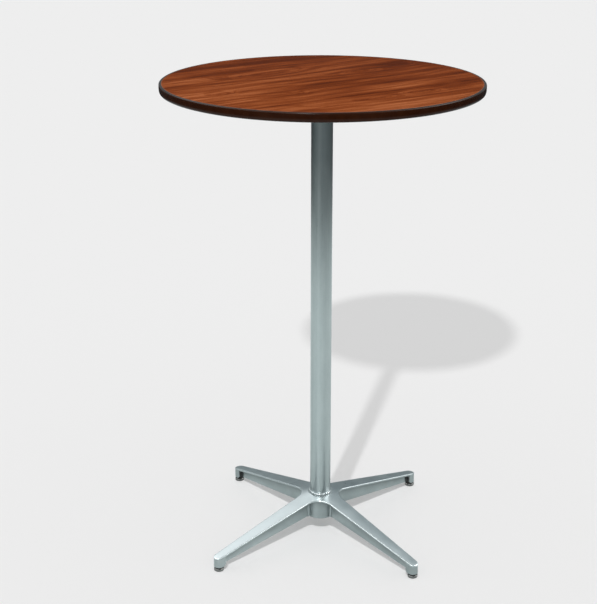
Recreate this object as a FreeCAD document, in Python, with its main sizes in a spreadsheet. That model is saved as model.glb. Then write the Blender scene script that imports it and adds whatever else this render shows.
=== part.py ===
"""Round pub table: laminate top, steel column and a cast four-arm base on levelling glides.

Millimetres, +Z up. The origin is on the floor under the column's axis, and the four arms lie on
the diagonals between X and Y.
"""

import FreeCAD, Part
import math
import os
import re
import Sketcher

ARM_COUNT = 4
FIRST_ARM = 45.0
ARM_STEP = 360.0 / ARM_COUNT
LIP_MARK_COUNT = 30
COLLAR_NOTCH_COUNT = 20
HEX_SIDE_COUNT = 6
SAME_PLACE = 0.01

SIZES = {
    # whole table
    "TableHeight": 1067.0,
    "TopDiameter": 700.0,
    # top
    "LaminateThickness": 1.0,
    "BoardThickness": 18.0,
    "BackerThickness": 0.8,
    "MouldingWidth": 5.5,
    "MouldingTopRound": 3.0,
    "MouldingUnderRound": 7.4,
    "TongueThickness": 2.4,
    "TongueLength": 10.0,
    "TongueClearance": 0.15,
    # plate under the top
    "PlateThickness": 6.0,
    "PlateReach": 130.0,
    "PlateRootWidth": 44.0,
    "PlateTipWidth": 24.0,
    "PlateHubDiameter": 62.0,
    "PlateHubDepth": 36.0,
    "PlateFloor": 10.0,
    "PlateRibThickness": 6.0,
    "PlateRibTipDepth": 3.0,
    "InnerScrewRadius": 70.0,
    "OuterScrewRadius": 118.0,
    "ScrewDiameter": 4.2,
    "ScrewGrip": 14.0,
    "ScrewHeadDiameter": 8.4,
    "ScrewHeadHeight": 2.8,
    "ScrewClearance": 0.3,
    "PilotClearance": 0.05,
    # column and tie rod
    "ColumnDiameter": 47.6,
    "ColumnWall": 1.8,
    "SocketClearance": 0.1,
    "RodDiameter": 12.0,
    "RodClearance": 0.5,
    "RodEndChamfer": 1.2,
    "RodBelowNut": 3.0,
    "RodBelowTop": 1.0,
    "NutFlats": 19.0,
    "NutHeight": 10.0,
    "JamNutHeight": 6.0,
    "WasherDiameter": 32.0,
    "WasherThickness": 2.5,
    "LockWasherDiameter": 21.0,
    "LockWasherThickness": 2.8,
    "LockWasherSplit": 1.6,
    # base casting
    "HubTop": 95.2,
    "HubUnder": 34.0,
    "HubDiameter": 68.0,
    "SocketFloor": 62.0,
    "HubFloor": 8.0,
    "RecessDiameter": 40.0,
    "HubGrooveWidth": 2.0,
    "HubGrooveDepth": 1.2,
    "HubGrooveUndercut": 0.3,
    "LipDiameter": 57.0,
    "LipHeight": 6.4,
    "LipCrownWidth": 2.0,
    "LipMarkDiameter": 2.4,
    "FootRadius": 305.0,
    "FootTop": 34.9,
    "FlangeThickness": 5.8,
    "FlangeEdgeRound": 1.6,
    "ArmRootWidth": 44.4,
    "NotchRadius": 40.0,
    "WebThickness": 7.0,
    "WebUnderAtHub": 39.5,
    "WebUnderAtFoot": 13.6,
    "WebEndGap": 6.0,
    "WebRootThickness": 12.0,
    "WebRootReach": 44.6,
    "PostDiameter": 22.4,
    "PostSlotWidth": 18.0,
    "PostCheekReach": 11.5,
    "PostCheekRound": 8.0,
    # levelling feet
    "InsertDiameter": 18.5,
    "InsertLength": 17.0,
    "InsertClearance": 0.05,
    "StemDiameter": 8.0,
    "StemClearance": 0.05,
    "StemEngagement": 16.0,
    "StemHeadDiameter": 12.0,
    "StemChamfer": 0.8,
    "CollarDiameter": 21.2,
    "CollarHeight": 3.4,
    "CollarNotchDiameter": 1.6,
    "CupDiameter": 22.2,
    "CupHeight": 5.4,
    "CupWall": 0.8,
    "CupRound": 1.8,
    "PadProud": 1.0,
    "PadHeight": 3.0,
    "GlideGap": 0.2,
}

# Heights and radii worked out from the sizes, as expressions of the sheet.
BOARD_RADIUS = "(TopDiameter / 2 - MouldingWidth)"
BOARD_TOP = "(TableHeight - LaminateThickness)"
BOARD_MIDDLE = "(TableHeight - LaminateThickness - BoardThickness / 2)"
BOARD_UNDER = "(TableHeight - LaminateThickness - BoardThickness)"
TOP_UNDER = "(TableHeight - LaminateThickness - BoardThickness - BackerThickness)"
PLATE_UNDER = "(" + TOP_UNDER + " - PlateThickness)"
PLATE_HUB_UNDER = "(" + TOP_UNDER + " - PlateHubDepth)"
COLUMN_TOP = "(" + TOP_UNDER + " - PlateFloor)"
SOCKET_RADIUS = "(ColumnDiameter / 2 + SocketClearance)"
FLOOR_UNDER = "(SocketFloor - HubFloor)"
WASHER_UNDER = "(" + FLOOR_UNDER + " - WasherThickness)"
LOCK_UNDER = "(" + WASHER_UNDER + " - LockWasherThickness)"
NUT_UNDER = "(" + LOCK_UNDER + " - NutHeight)"
ROD_UNDER = "(" + NUT_UNDER + " - RodBelowNut)"
ROD_TOP = "(" + TOP_UNDER + " - RodBelowTop)"
ARM_SLOPE = "((HubTop - FootTop) / FootRadius)"
WEB_START = "((HubDiameter / 2 + " + SOCKET_RADIUS + ") / 2)"
CHEEK_END = "(FootRadius - PostCheekReach)"
WEB_END = "(FootRadius - PostCheekReach - WebEndGap)"
CUP_TOP = "(PadProud + CupHeight)"
COLLAR_UNDER = "(" + CUP_TOP + " + GlideGap)"
POST_UNDER = "(" + COLLAR_UNDER + " + CollarHeight + GlideGap)"
STEM_TOP = "(" + POST_UNDER + " + StemEngagement)"
BORE_TOP = "(" + POST_UNDER + " + InsertLength + InsertClearance)"

doc = FreeCAD.newDocument("PubTable")
sheet = doc.addObject("Spreadsheet::Sheet", "Sizes")
nodes = []


def fill_sheet():
    """One row for each driving size: its name, and its value under that alias."""
    for row, (name, size) in enumerate(SIZES.items(), 1):
        sheet.set("A%d" % row, name)
        sheet.set("B%d" % row, str(size))
        sheet.setAlias("B%d" % row, name)
    doc.recompute()


def bound(expression):
    """The expression with each size's name pointing at the sheet."""
    return re.sub(r"\b([A-Z][A-Za-z]+)\b", r"Sizes.\1", expression)


def value(expression):
    """The number that an expression of the sizes has now."""
    result = sheet.evalExpression(bound(expression))
    return float(getattr(result, "Value", result))


def flange_top(radius):
    """Height of the arms' upper surface, a shallow cone, at a distance from the axis."""
    return "(HubTop - " + ARM_SLOPE + " * (" + radius + "))"


# ---------------------------------------------------------------- sketches


def new_body(label, angle=0.0, radius="0"):
    """A body, turned about the column's axis and then moved out along that direction."""
    body = doc.addObject("PartDesign::Body", label)
    body.Label = label
    body.Placement = FreeCAD.Placement(
        FreeCAD.Vector(0, 0, 0), FreeCAD.Rotation(FreeCAD.Vector(0, 0, 1), angle)
    )
    if radius != "0":
        body.setExpression("Placement.Base.x", bound("%s * cos(%g)" % (radius, angle)))
        body.setExpression("Placement.Base.y", bound("%s * sin(%g)" % (radius, angle)))
    nodes.append(body)
    return body


def origin_part(body, role):
    return next(part for part in body.Origin.OriginFeatures if part.Role == role)


def new_sketch(body, name, plane, height="0"):
    """A sketch on one of the body's own origin planes, raised along the plane's normal."""
    sketch = body.newObject("Sketcher::SketchObject", name)
    sketch.AttachmentSupport = (origin_part(body, plane), [""])
    sketch.MapMode = "FlatFace"
    if height != "0":
        sketch.setExpression("AttachmentOffset.Base.z", bound(height))
    return sketch


def constrain(sketch, expression, *reference):
    """A constraint of the sketch whose value follows an expression of the sizes."""
    index = sketch.addConstraint(Sketcher.Constraint(*reference, value(expression)))
    sketch.setExpression("Constraints[%d]" % index, bound(expression))


def locate(sketch, geometry, point, across, up):
    """Fixes a point by its distances from the sketch's origin."""
    for axis, kind, distance in ((-2, "DistanceX", across), (-1, "DistanceY", up)):
        if distance == "0":
            sketch.addConstraint(Sketcher.Constraint("PointOnObject", geometry, point, axis))
        else:
            constrain(sketch, distance, kind, -1, 1, geometry, point)


def arc_between(start, end, radius, side):
    """The short arc between two points, with its centre to the left (1) or right (-1)."""
    chord = end - start
    height = math.sqrt(max(radius**2 - (chord.Length / 2) ** 2, 0.0))
    left = FreeCAD.Vector(-chord.y, chord.x, 0).normalize()
    centre = (start + end) / 2 + left * (height * side)
    first, last = (start, end) if side > 0 else (end, start)
    angles = [math.atan2(p.y - centre.y, p.x - centre.x) for p in (first, last)]
    circle = Part.Circle(centre, FreeCAD.Vector(0, 0, 1), radius)
    return Part.ArcOfCircle(circle, *angles)


def draw_outline(sketch, corners, arcs=None):
    """A closed outline through the corners, with arcs {side: (radius, centre's side)}."""
    arcs = arcs or {}
    points = [FreeCAD.Vector(value(x), value(y), 0) for x, y in corners]
    ends = []
    for side, start in enumerate(points):
        end = points[(side + 1) % len(points)]
        if side in arcs:
            radius, centre_side = arcs[side]
            arc = arc_between(start, end, value(radius), centre_side)
            geometry = sketch.addGeometry(arc, False)
            constrain(sketch, radius, "Radius", geometry)
            ends.append((geometry, 1, 2) if centre_side > 0 else (geometry, 2, 1))
        else:
            geometry = sketch.addGeometry(Part.LineSegment(start, end), False)
            ends.append((geometry, 1, 2))
    for side, (geometry, first, _) in enumerate(ends):
        before, _, last = ends[side - 1]
        sketch.addConstraint(Sketcher.Constraint("Coincident", before, last, geometry, first))
        locate(sketch, geometry, first, *corners[side])


def draw_circle(sketch, across, up, radius):
    centre = FreeCAD.Vector(value(across), value(up), 0)
    circle = Part.Circle(centre, FreeCAD.Vector(0, 0, 1), value(radius))
    geometry = sketch.addGeometry(circle, False)
    locate(sketch, geometry, 3, across, up)
    constrain(sketch, radius, "Radius", geometry)


# ---------------------------------------------------------------- features


def extrude(body, name, sketch, length, kind="Pad", side="One side", down=False):
    """A pad or pocket of the sketch; a pocket needs Reversed to cut upwards."""
    feature = body.newObject("PartDesign::" + kind, name)
    feature.Profile = sketch
    feature.SideType = side
    feature.Reversed = down != (kind == "Pocket")
    feature.setExpression("Length", bound(length))
    return feature


def turn(body, name, sketch, kind="Revolution"):
    """A full revolution or groove of the sketch about the body's vertical axis."""
    feature = body.newObject("PartDesign::" + kind, name)
    feature.Profile = sketch
    feature.ReferenceAxis = (sketch, ["V_Axis"])
    feature.Angle = 360.0
    return feature


def pattern(body, name, originals, count):
    """Copies of the features, evenly spaced about the body's vertical axis."""
    feature = body.newObject("PartDesign::PolarPattern", name)
    feature.Originals = originals
    feature.Axis = (origin_part(body, "Z_Axis"), [""])
    feature.Angle = 360.0
    feature.Occurrences = count
    body.Tip = feature
    return feature


def round_edges(body, name, radius, test, kind="Fillet"):
    """Fillets or chamfers every edge of the body so far that passes the test."""
    doc.recompute()
    base = body.Tip
    edges = [
        "Edge%d" % number for number, edge in enumerate(base.Shape.Edges, 1) if test(edge)
    ]
    feature = body.newObject("PartDesign::" + kind, name)
    feature.Base = (base, edges)
    feature.setExpression("Radius" if kind == "Fillet" else "Size", bound(radius))
    return feature


def turned_piece(label, corners, arcs=None, angle=0.0, radius="0"):
    """A body made by turning one closed profile about its axis."""
    body = new_body(label, angle, radius)
    sketch = new_sketch(body, label + "_profile", "XZ_Plane")
    draw_outline(sketch, corners, arcs)
    turn(body, label + "_turned", sketch)
    return body


def sleeve(label, outer, inner, under, top):
    """A plain ring or tube."""
    corners = [(inner, under), (outer, under), (outer, top), (inner, top)]
    return turned_piece(label, corners)


def taper_angle(root_width, tip_width, reach):
    """Angle between an arm's centre line and its straight edges, which meet the tip's arc."""
    half = "(" + root_width + " / 2)"
    far = "sqrt(%s^2 + %s^2)" % (half, reach)
    return "(atan(%s / %s) - asin(%s / 2 / %s))" % (half, reach, tip_width, far)


def draw_arm(sketch, root_width, tip_width, reach):
    """A tapering arm along X from the axis, with a round tip centred at its reach."""
    taper = taper_angle(root_width, tip_width, reach)
    along = "(%s + %s / 2 * sin(%s))" % (reach, tip_width, taper)
    aside = "(%s / 2 * cos(%s))" % (tip_width, taper)
    root = "(" + root_width + " / 2)"
    corners = [("0", "-" + root), (along, "-" + aside), (along, aside), ("0", root)]
    draw_outline(sketch, corners, {1: (tip_width + " / 2", 1)})


# ---------------------------------------------------------------- top


def make_board():
    """The board, with a groove round its edge and the screws' pilot holes."""
    groove_half = "(TongueThickness / 2 + TongueClearance)"
    groove_floor = "(" + BOARD_RADIUS + " - TongueLength - TongueClearance)"
    corners = [
        ("0", BOARD_UNDER),
        (BOARD_RADIUS, BOARD_UNDER),
        (BOARD_RADIUS, BOARD_MIDDLE + " - " + groove_half),
        (groove_floor, BOARD_MIDDLE + " - " + groove_half),
        (groove_floor, BOARD_MIDDLE + " + " + groove_half),
        (BOARD_RADIUS, BOARD_MIDDLE + " + " + groove_half),
        (BOARD_RADIUS, BOARD_TOP),
        ("0", BOARD_TOP),
    ]
    board = turned_piece("tabletop_core", corners, angle=FIRST_ARM)
    depth = "ScrewGrip + ScrewClearance"
    drill_screw_holes(board, BOARD_UNDER, depth, "ScrewDiameter / 2 + PilotClearance")


def drill_screw_holes(body, under, depth, radius):
    """Both rings of screw holes, upwards from a level."""
    sketch = new_sketch(body, body.Label + "_hole_plan", "XY_Plane", under)
    for distance in ("InnerScrewRadius", "OuterScrewRadius"):
        draw_circle(sketch, distance, "0", radius)
    holes = extrude(body, body.Label + "_holes", sketch, depth, "Pocket")
    pattern(body, body.Label + "_all_holes", [holes], ARM_COUNT)


def make_sheets():
    """The laminate on the board and the balancing sheet below it."""
    corners = [
        ("0", BOARD_TOP),
        (BOARD_RADIUS, BOARD_TOP),
        (BOARD_RADIUS, "TableHeight"),
        ("0", "TableHeight"),
    ]
    turned_piece("top_laminate", corners)
    corners = [
        ("0", TOP_UNDER),
        (BOARD_RADIUS, TOP_UNDER),
        (BOARD_RADIUS, BOARD_UNDER),
        ("0", BOARD_UNDER),
    ]
    backer = turned_piece("backer_sheet", corners, angle=FIRST_ARM)
    drill_screw_holes(
        backer, TOP_UNDER, "BackerThickness", "ScrewDiameter / 2 + ScrewClearance"
    )


def make_moulding():
    """The vinyl edge: a head over the whole edge and a tongue in the board's groove."""
    rim = "(TopDiameter / 2)"
    shoulder = (
        "(" + TOP_UNDER + " + sqrt(MouldingUnderRound^2"
        " - (MouldingUnderRound - MouldingWidth)^2))"
    )
    tongue_end = "(" + BOARD_RADIUS + " - TongueLength)"
    corners = [
        (BOARD_RADIUS, TOP_UNDER),
        (rim, shoulder),
        (rim, "TableHeight - MouldingTopRound"),
        (rim + " - MouldingTopRound", "TableHeight"),
        (BOARD_RADIUS, "TableHeight"),
        (BOARD_RADIUS, BOARD_MIDDLE + " + TongueThickness / 2"),
        (tongue_end, BOARD_MIDDLE + " + TongueThickness / 4"),
        (tongue_end, BOARD_MIDDLE + " - TongueThickness / 4"),
        (BOARD_RADIUS, BOARD_MIDDLE + " - TongueThickness / 2"),
    ]
    arcs = {0: ("MouldingUnderRound", 1), 2: ("MouldingTopRound", 1)}
    turned_piece("edge_moulding", corners, arcs)


def make_top_plate():
    """The four-arm plate under the top, with ribs, screw holes and the column's socket."""
    plate = new_body("top_plate", FIRST_ARM)
    arm_plan = new_sketch(plate, "plate_arm_plan", "XY_Plane", PLATE_UNDER)
    draw_arm(arm_plan, "PlateRootWidth", "PlateTipWidth", "PlateReach")
    arm = extrude(plate, "plate_arm", arm_plan, "PlateThickness")
    rib_side = new_sketch(plate, "plate_rib_side", "XZ_Plane")
    rib_root = "(PlateHubDiameter / 2 - PlateRibThickness)"
    corners = [
        (rib_root, PLATE_HUB_UNDER + " + PlateRibThickness"),
        ("OuterScrewRadius", PLATE_UNDER + " - PlateRibTipDepth"),
        ("OuterScrewRadius", PLATE_UNDER + " + PlateThickness / 2"),
        (rib_root, PLATE_UNDER + " + PlateThickness / 2"),
    ]
    draw_outline(rib_side, corners)
    rib = extrude(plate, "plate_rib", rib_side, "PlateRibThickness", side="Symmetric")
    pattern(plate, "plate_arms", [arm, rib], ARM_COUNT)
    hub_plan = new_sketch(plate, "plate_hub_plan", "XY_Plane", PLATE_HUB_UNDER)
    draw_circle(hub_plan, "0", "0", "PlateHubDiameter / 2")
    extrude(plate, "plate_hub", hub_plan, "PlateHubDepth")
    inside = new_sketch(plate, "plate_inside", "XZ_Plane")
    rod_radius = "(RodDiameter / 2)"
    corners = [
        ("0", PLATE_HUB_UNDER),
        (SOCKET_RADIUS, PLATE_HUB_UNDER),
        (SOCKET_RADIUS, COLUMN_TOP),
        (rod_radius, COLUMN_TOP),
        (rod_radius, TOP_UNDER),
        ("0", TOP_UNDER),
    ]
    draw_outline(inside, corners)
    turn(plate, "plate_socket", inside, "Groove")
    seat_plan = new_sketch(plate, "screw_seat_plan", "XY_Plane", PLATE_HUB_UNDER)
    for distance in ("InnerScrewRadius", "OuterScrewRadius"):
        draw_circle(seat_plan, distance, "0", "ScrewHeadDiameter / 2 + ScrewClearance")
    depth = "PlateHubDepth - PlateThickness"
    seats = extrude(plate, "screw_seats", seat_plan, depth, "Pocket")
    pattern(plate, "all_screw_seats", [seats], ARM_COUNT)
    drill_screw_holes(
        plate, PLATE_UNDER, "PlateThickness", "ScrewDiameter / 2 + ScrewClearance"
    )


def make_plate_screws():
    """Eight pan-head wood screws, driven up through the plate into the board."""
    screws = new_body("top_plate_screws", FIRST_ARM)
    heads_plan = new_sketch(
        screws, "screw_head_plan", "XY_Plane", PLATE_UNDER + " - ScrewHeadHeight"
    )
    shanks_plan = new_sketch(screws, "screw_shank_plan", "XY_Plane", PLATE_UNDER)
    for distance in ("InnerScrewRadius", "OuterScrewRadius"):
        draw_circle(heads_plan, distance, "0", "ScrewHeadDiameter / 2")
        draw_circle(shanks_plan, distance, "0", "ScrewDiameter / 2")
    heads = extrude(screws, "screw_heads", heads_plan, "ScrewHeadHeight")
    reach = "PlateThickness + BackerThickness + ScrewGrip"
    shanks = extrude(screws, "screw_shanks", shanks_plan, reach)
    pattern(screws, "all_screws", [heads, shanks], ARM_COUNT)


# ---------------------------------------------------------------- column


def make_column():
    """The tube, seated on the hub's socket floor and under the plate's."""
    bore = "(ColumnDiameter / 2 - ColumnWall)"
    sleeve("column_tube", "ColumnDiameter / 2", bore, "SocketFloor", COLUMN_TOP)


def make_tie_rod():
    """The threaded rod, as a plain bar of its outside diameter with chamfered ends."""
    rim = "(RodDiameter / 2)"
    chamfered = "(RodDiameter / 2 - RodEndChamfer)"
    corners = [
        ("0", ROD_UNDER),
        (chamfered, ROD_UNDER),
        (rim, ROD_UNDER + " + RodEndChamfer"),
        (rim, ROD_TOP + " - RodEndChamfer"),
        (chamfered, ROD_TOP),
        ("0", ROD_TOP),
    ]
    turned_piece("tie_rod", corners)


def make_nut(label, under, height):
    """A hexagon nut on the rod, with the corners of both ends turned off."""
    nut = new_body(label)
    plan = new_sketch(nut, label + "_plan", "XY_Plane", under)
    corner_radius = "(NutFlats / 2 / cos(%g))" % (180 / HEX_SIDE_COUNT)
    corners = [
        (
            "%s * cos(%g)" % (corner_radius, 360 / HEX_SIDE_COUNT * side),
            "%s * sin(%g)" % (corner_radius, 360 / HEX_SIDE_COUNT * side),
        )
        for side in range(HEX_SIDE_COUNT)
    ]
    corners[0] = (corners[0][0], "0")
    corners[HEX_SIDE_COUNT // 2] = (corners[HEX_SIDE_COUNT // 2][0], "0")
    draw_outline(plan, corners)
    draw_circle(plan, "0", "0", "RodDiameter / 2")
    extrude(nut, label + "_hex", plan, height)
    chamfer = new_sketch(nut, label + "_chamfer_side", "XZ_Plane")
    drop = "((%s - NutFlats / 2) * tan(30))" % corner_radius
    draw_outline(
        chamfer,
        [
            ("NutFlats / 2", under + " + " + height),
            (corner_radius, under + " + " + height + " - " + drop),
            (corner_radius + " + RodEndChamfer", under + " + " + height),
        ],
    )
    draw_outline(
        chamfer,
        [
            ("NutFlats / 2", under),
            (corner_radius + " + RodEndChamfer", under),
            (corner_radius, under + " + " + drop),
        ],
    )
    turn(nut, label + "_chamfers", chamfer, "Groove")


def make_rod_fittings():
    """The jam nut inside the column's top, and washers and nut under the hub's floor."""
    make_nut("rod_jam_nut", "(" + COLUMN_TOP + " - JamNutHeight)", "JamNutHeight")
    sleeve("rod_washer", "WasherDiameter / 2", "RodDiameter / 2", WASHER_UNDER, FLOOR_UNDER)
    lock = sleeve(
        "rod_lock_washer", "LockWasherDiameter / 2", "RodDiameter / 2", LOCK_UNDER, WASHER_UNDER
    )
    split = new_sketch(lock, "lock_washer_split_plan", "XY_Plane", LOCK_UNDER)
    corners = [
        ("0", "-LockWasherSplit / 2"),
        ("LockWasherDiameter", "-LockWasherSplit / 2"),
        ("LockWasherDiameter", "LockWasherSplit / 2"),
        ("0", "LockWasherSplit / 2"),
    ]
    draw_outline(split, corners)
    extrude(lock, "lock_washer_split", split, "LockWasherThickness", "Pocket")
    make_nut("rod_nut", NUT_UNDER, "NutHeight")


# ---------------------------------------------------------------- base


def make_flange(casting):
    """The arms' upper flange: four tapering arms, faired together and cut to a shallow cone."""
    arm_plan = new_sketch(casting, "arm_plan", "XY_Plane")
    draw_arm(arm_plan, "ArmRootWidth", "PostDiameter", "FootRadius")
    arm = extrude(casting, "arm", arm_plan, "HubTop")
    pattern(casting, "arms", [arm], ARM_COUNT)
    inside_corner = value("ArmRootWidth")

    def between_arms(edge):
        middle = edge.BoundBox.Center
        upright = edge.BoundBox.ZLength > value("HubTop") / 2
        return upright and math.hypot(middle.x, middle.y) < inside_corner

    round_edges(casting, "notches", "NotchRadius", between_arms)
    beyond = "(FootRadius + PostDiameter)"
    above = new_sketch(casting, "above_flange", "XZ_Plane")
    corners = [
        ("0", "HubTop"),
        (beyond, flange_top(beyond)),
        (beyond, "HubTop + FlangeThickness"),
        ("0", "HubTop + FlangeThickness"),
    ]
    draw_outline(above, corners)
    turn(casting, "flange_top_cut", above, "Groove")
    below = new_sketch(casting, "below_flange", "XZ_Plane")
    corners = [
        ("0", "-FlangeThickness"),
        (beyond, "-FlangeThickness"),
        (beyond, flange_top(beyond) + " - FlangeThickness"),
        ("0", "HubTop - FlangeThickness"),
    ]
    draw_outline(below, corners)
    turn(casting, "flange_under_cut", below, "Groove")
    middle = value("FlangeThickness") / 2

    def upper_outline(edge):
        point = edge.valueAt((edge.FirstParameter + edge.LastParameter) / 2)
        level = value("HubTop") - value(ARM_SLOPE) * math.hypot(point.x, point.y)
        return point.z > level - middle and edge.Length > middle

    round_edges(casting, "flange_edges", "FlangeEdgeRound", upper_outline)


def make_hub(casting):
    """The boss under the flange, and the lip staked round the column's foot."""
    radius = "(HubDiameter / 2)"
    boss = new_sketch(casting, "boss_profile", "XZ_Plane")
    corners = [
        ("0", "HubUnder"),
        (radius, "HubUnder"),
        (radius, flange_top(radius) + " - FlangeThickness / 2"),
        ("0", "HubTop - FlangeThickness / 2"),
    ]
    draw_outline(boss, corners)
    turn(casting, "boss", boss)
    lip_radius = "(LipDiameter / 2)"
    lip_foot = flange_top(lip_radius)
    lip = new_sketch(casting, "lip_profile", "XZ_Plane")
    corners = [
        ("0", lip_foot + " - FlangeThickness / 2"),
        (lip_radius, lip_foot + " - FlangeThickness / 2"),
        (lip_radius, lip_foot + " + LipHeight / 2"),
        (SOCKET_RADIUS + " + LipCrownWidth", lip_foot + " + LipHeight"),
        ("0", lip_foot + " + LipHeight"),
    ]
    draw_outline(lip, corners)
    turn(casting, "lip", lip)


def web_outline(end):
    """Side view of a web from inside the hub out to a radius."""
    slope = "((WebUnderAtHub - WebUnderAtFoot) / (" + WEB_END + " - " + WEB_START + "))"
    return [
        (WEB_START, "WebUnderAtHub"),
        (end, "WebUnderAtHub - %s * (%s - %s)" % (slope, end, WEB_START)),
        (end, flange_top(end) + " - FlangeThickness / 2"),
        (WEB_START, flange_top(WEB_START) + " - FlangeThickness / 2"),
    ]


def make_webs_and_posts(casting):
    """Under each arm an upright web, thicker at the hub, and at its end a post for the glide."""
    web_side = new_sketch(casting, "web_side", "XZ_Plane")
    draw_outline(web_side, web_outline(WEB_END))
    web = extrude(casting, "web", web_side, "WebThickness", side="Symmetric")
    root_side = new_sketch(casting, "web_root_side", "XZ_Plane")
    draw_outline(root_side, web_outline("WebRootReach"))
    root = extrude(casting, "web_root", root_side, "WebRootThickness", side="Symmetric")
    post_height = (
        flange_top("(FootRadius + PostDiameter / 2)") + " - FlangeThickness / 2 - " + POST_UNDER
    )
    post_plan = new_sketch(casting, "post_plan", "XY_Plane", POST_UNDER)
    draw_circle(post_plan, "FootRadius", "0", "PostDiameter / 2")
    post = extrude(casting, "post", post_plan, post_height)
    cheek_plan = new_sketch(casting, "post_cheek_plan", "XY_Plane", POST_UNDER)
    corners = [
        (CHEEK_END, "-PostDiameter / 2"),
        ("FootRadius", "-PostDiameter / 2"),
        ("FootRadius", "PostDiameter / 2"),
        (CHEEK_END, "PostDiameter / 2"),
    ]
    draw_outline(cheek_plan, corners)
    cheeks = extrude(casting, "post_cheeks", cheek_plan, post_height)
    pattern(casting, "webs_and_posts", [web, root, post, cheeks], ARM_COUNT)


def cut_hub(casting):
    """The column's socket, the rod's hole, the recess for the nut, and the boss's grooves."""
    rod_hole = "(RodDiameter / 2 + RodClearance)"
    above_all = "HubTop + LipHeight"
    inside = new_sketch(casting, "hub_inside", "XZ_Plane")
    corners = [
        ("0", "HubUnder"),
        ("RecessDiameter / 2", "HubUnder"),
        ("RecessDiameter / 2", FLOOR_UNDER),
        (rod_hole, FLOOR_UNDER),
        (rod_hole, "SocketFloor"),
        (SOCKET_RADIUS, "SocketFloor"),
        (SOCKET_RADIUS, above_all),
        ("0", above_all),
    ]
    draw_outline(inside, corners)
    turn(casting, "hub_bores", inside, "Groove")
    groove_plan = new_sketch(casting, "boss_groove_plan", "XY_Plane", "HubUnder")
    near = "(WebRootThickness / 2 - HubGrooveUndercut)"
    far = "(WebRootThickness / 2 - HubGrooveUndercut + HubGrooveWidth)"
    floor = "(sqrt((HubDiameter / 2)^2 - %s^2) - HubGrooveDepth)" % far
    mouth = "(HubDiameter / 2 + HubGrooveDepth)"
    draw_outline(groove_plan, [(floor, near), (mouth, near), (mouth, far), (floor, far)])
    opposite = [(floor, "-" + far), (mouth, "-" + far), (mouth, "-" + near), (floor, "-" + near)]
    draw_outline(groove_plan, opposite)
    height = flange_top("HubDiameter / 2") + " - FlangeThickness - HubUnder"
    grooves = extrude(casting, "boss_grooves", groove_plan, height, "Pocket")
    pattern(casting, "all_boss_grooves", [grooves], ARM_COUNT)
    lip_foot = flange_top("(LipDiameter / 2)")
    mark_plan = new_sketch(casting, "lip_mark_plan", "XY_Plane", lip_foot)
    draw_circle(mark_plan, "LipDiameter / 2", "0", "LipMarkDiameter / 2")
    marks = extrude(casting, "lip_mark", mark_plan, "LipHeight", "Pocket")
    pattern(casting, "lip_marks", [marks], LIP_MARK_COUNT)


def cut_posts(casting):
    """In each post a bore for the insert, open through a slot on the side facing the hub."""
    bore_plan = new_sketch(casting, "post_bore_plan", "XY_Plane", POST_UNDER)
    draw_circle(bore_plan, "FootRadius", "0", "InsertDiameter / 2 + InsertClearance")
    height = BORE_TOP + " - " + POST_UNDER
    bore = extrude(casting, "post_bore", bore_plan, height, "Pocket")
    slot_plan = new_sketch(casting, "post_slot_plan", "XY_Plane", POST_UNDER)
    corners = [
        (CHEEK_END, "-PostSlotWidth / 2"),
        ("FootRadius", "-PostSlotWidth / 2"),
        ("FootRadius", "PostSlotWidth / 2"),
        (CHEEK_END, "PostSlotWidth / 2"),
    ]
    draw_outline(slot_plan, corners)
    slot = extrude(casting, "post_slot", slot_plan, height, "Pocket")
    pattern(casting, "bores_and_slots", [bore, slot], ARM_COUNT)
    cheek_end = value(CHEEK_END)
    bottom = value(POST_UNDER)

    def cheek_corner(edge):
        box = edge.BoundBox
        half_slot = value("PostSlotWidth") / 2
        nearest = min(abs(box.Center.x), abs(box.Center.y))
        farthest = max(abs(box.Center.x), abs(box.Center.y))
        at_end = abs(farthest - cheek_end) < SAME_PLACE
        return at_end and nearest > half_slot and box.ZMax < bottom + SAME_PLACE

    round_edges(casting, "cheek_corners", "PostCheekRound", cheek_corner)


def make_casting():
    """The base in one casting."""
    casting = new_body("base_casting", FIRST_ARM)
    make_flange(casting)
    make_hub(casting)
    make_webs_and_posts(casting)
    cut_hub(casting)
    cut_posts(casting)


# ---------------------------------------------------------------- feet


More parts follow.
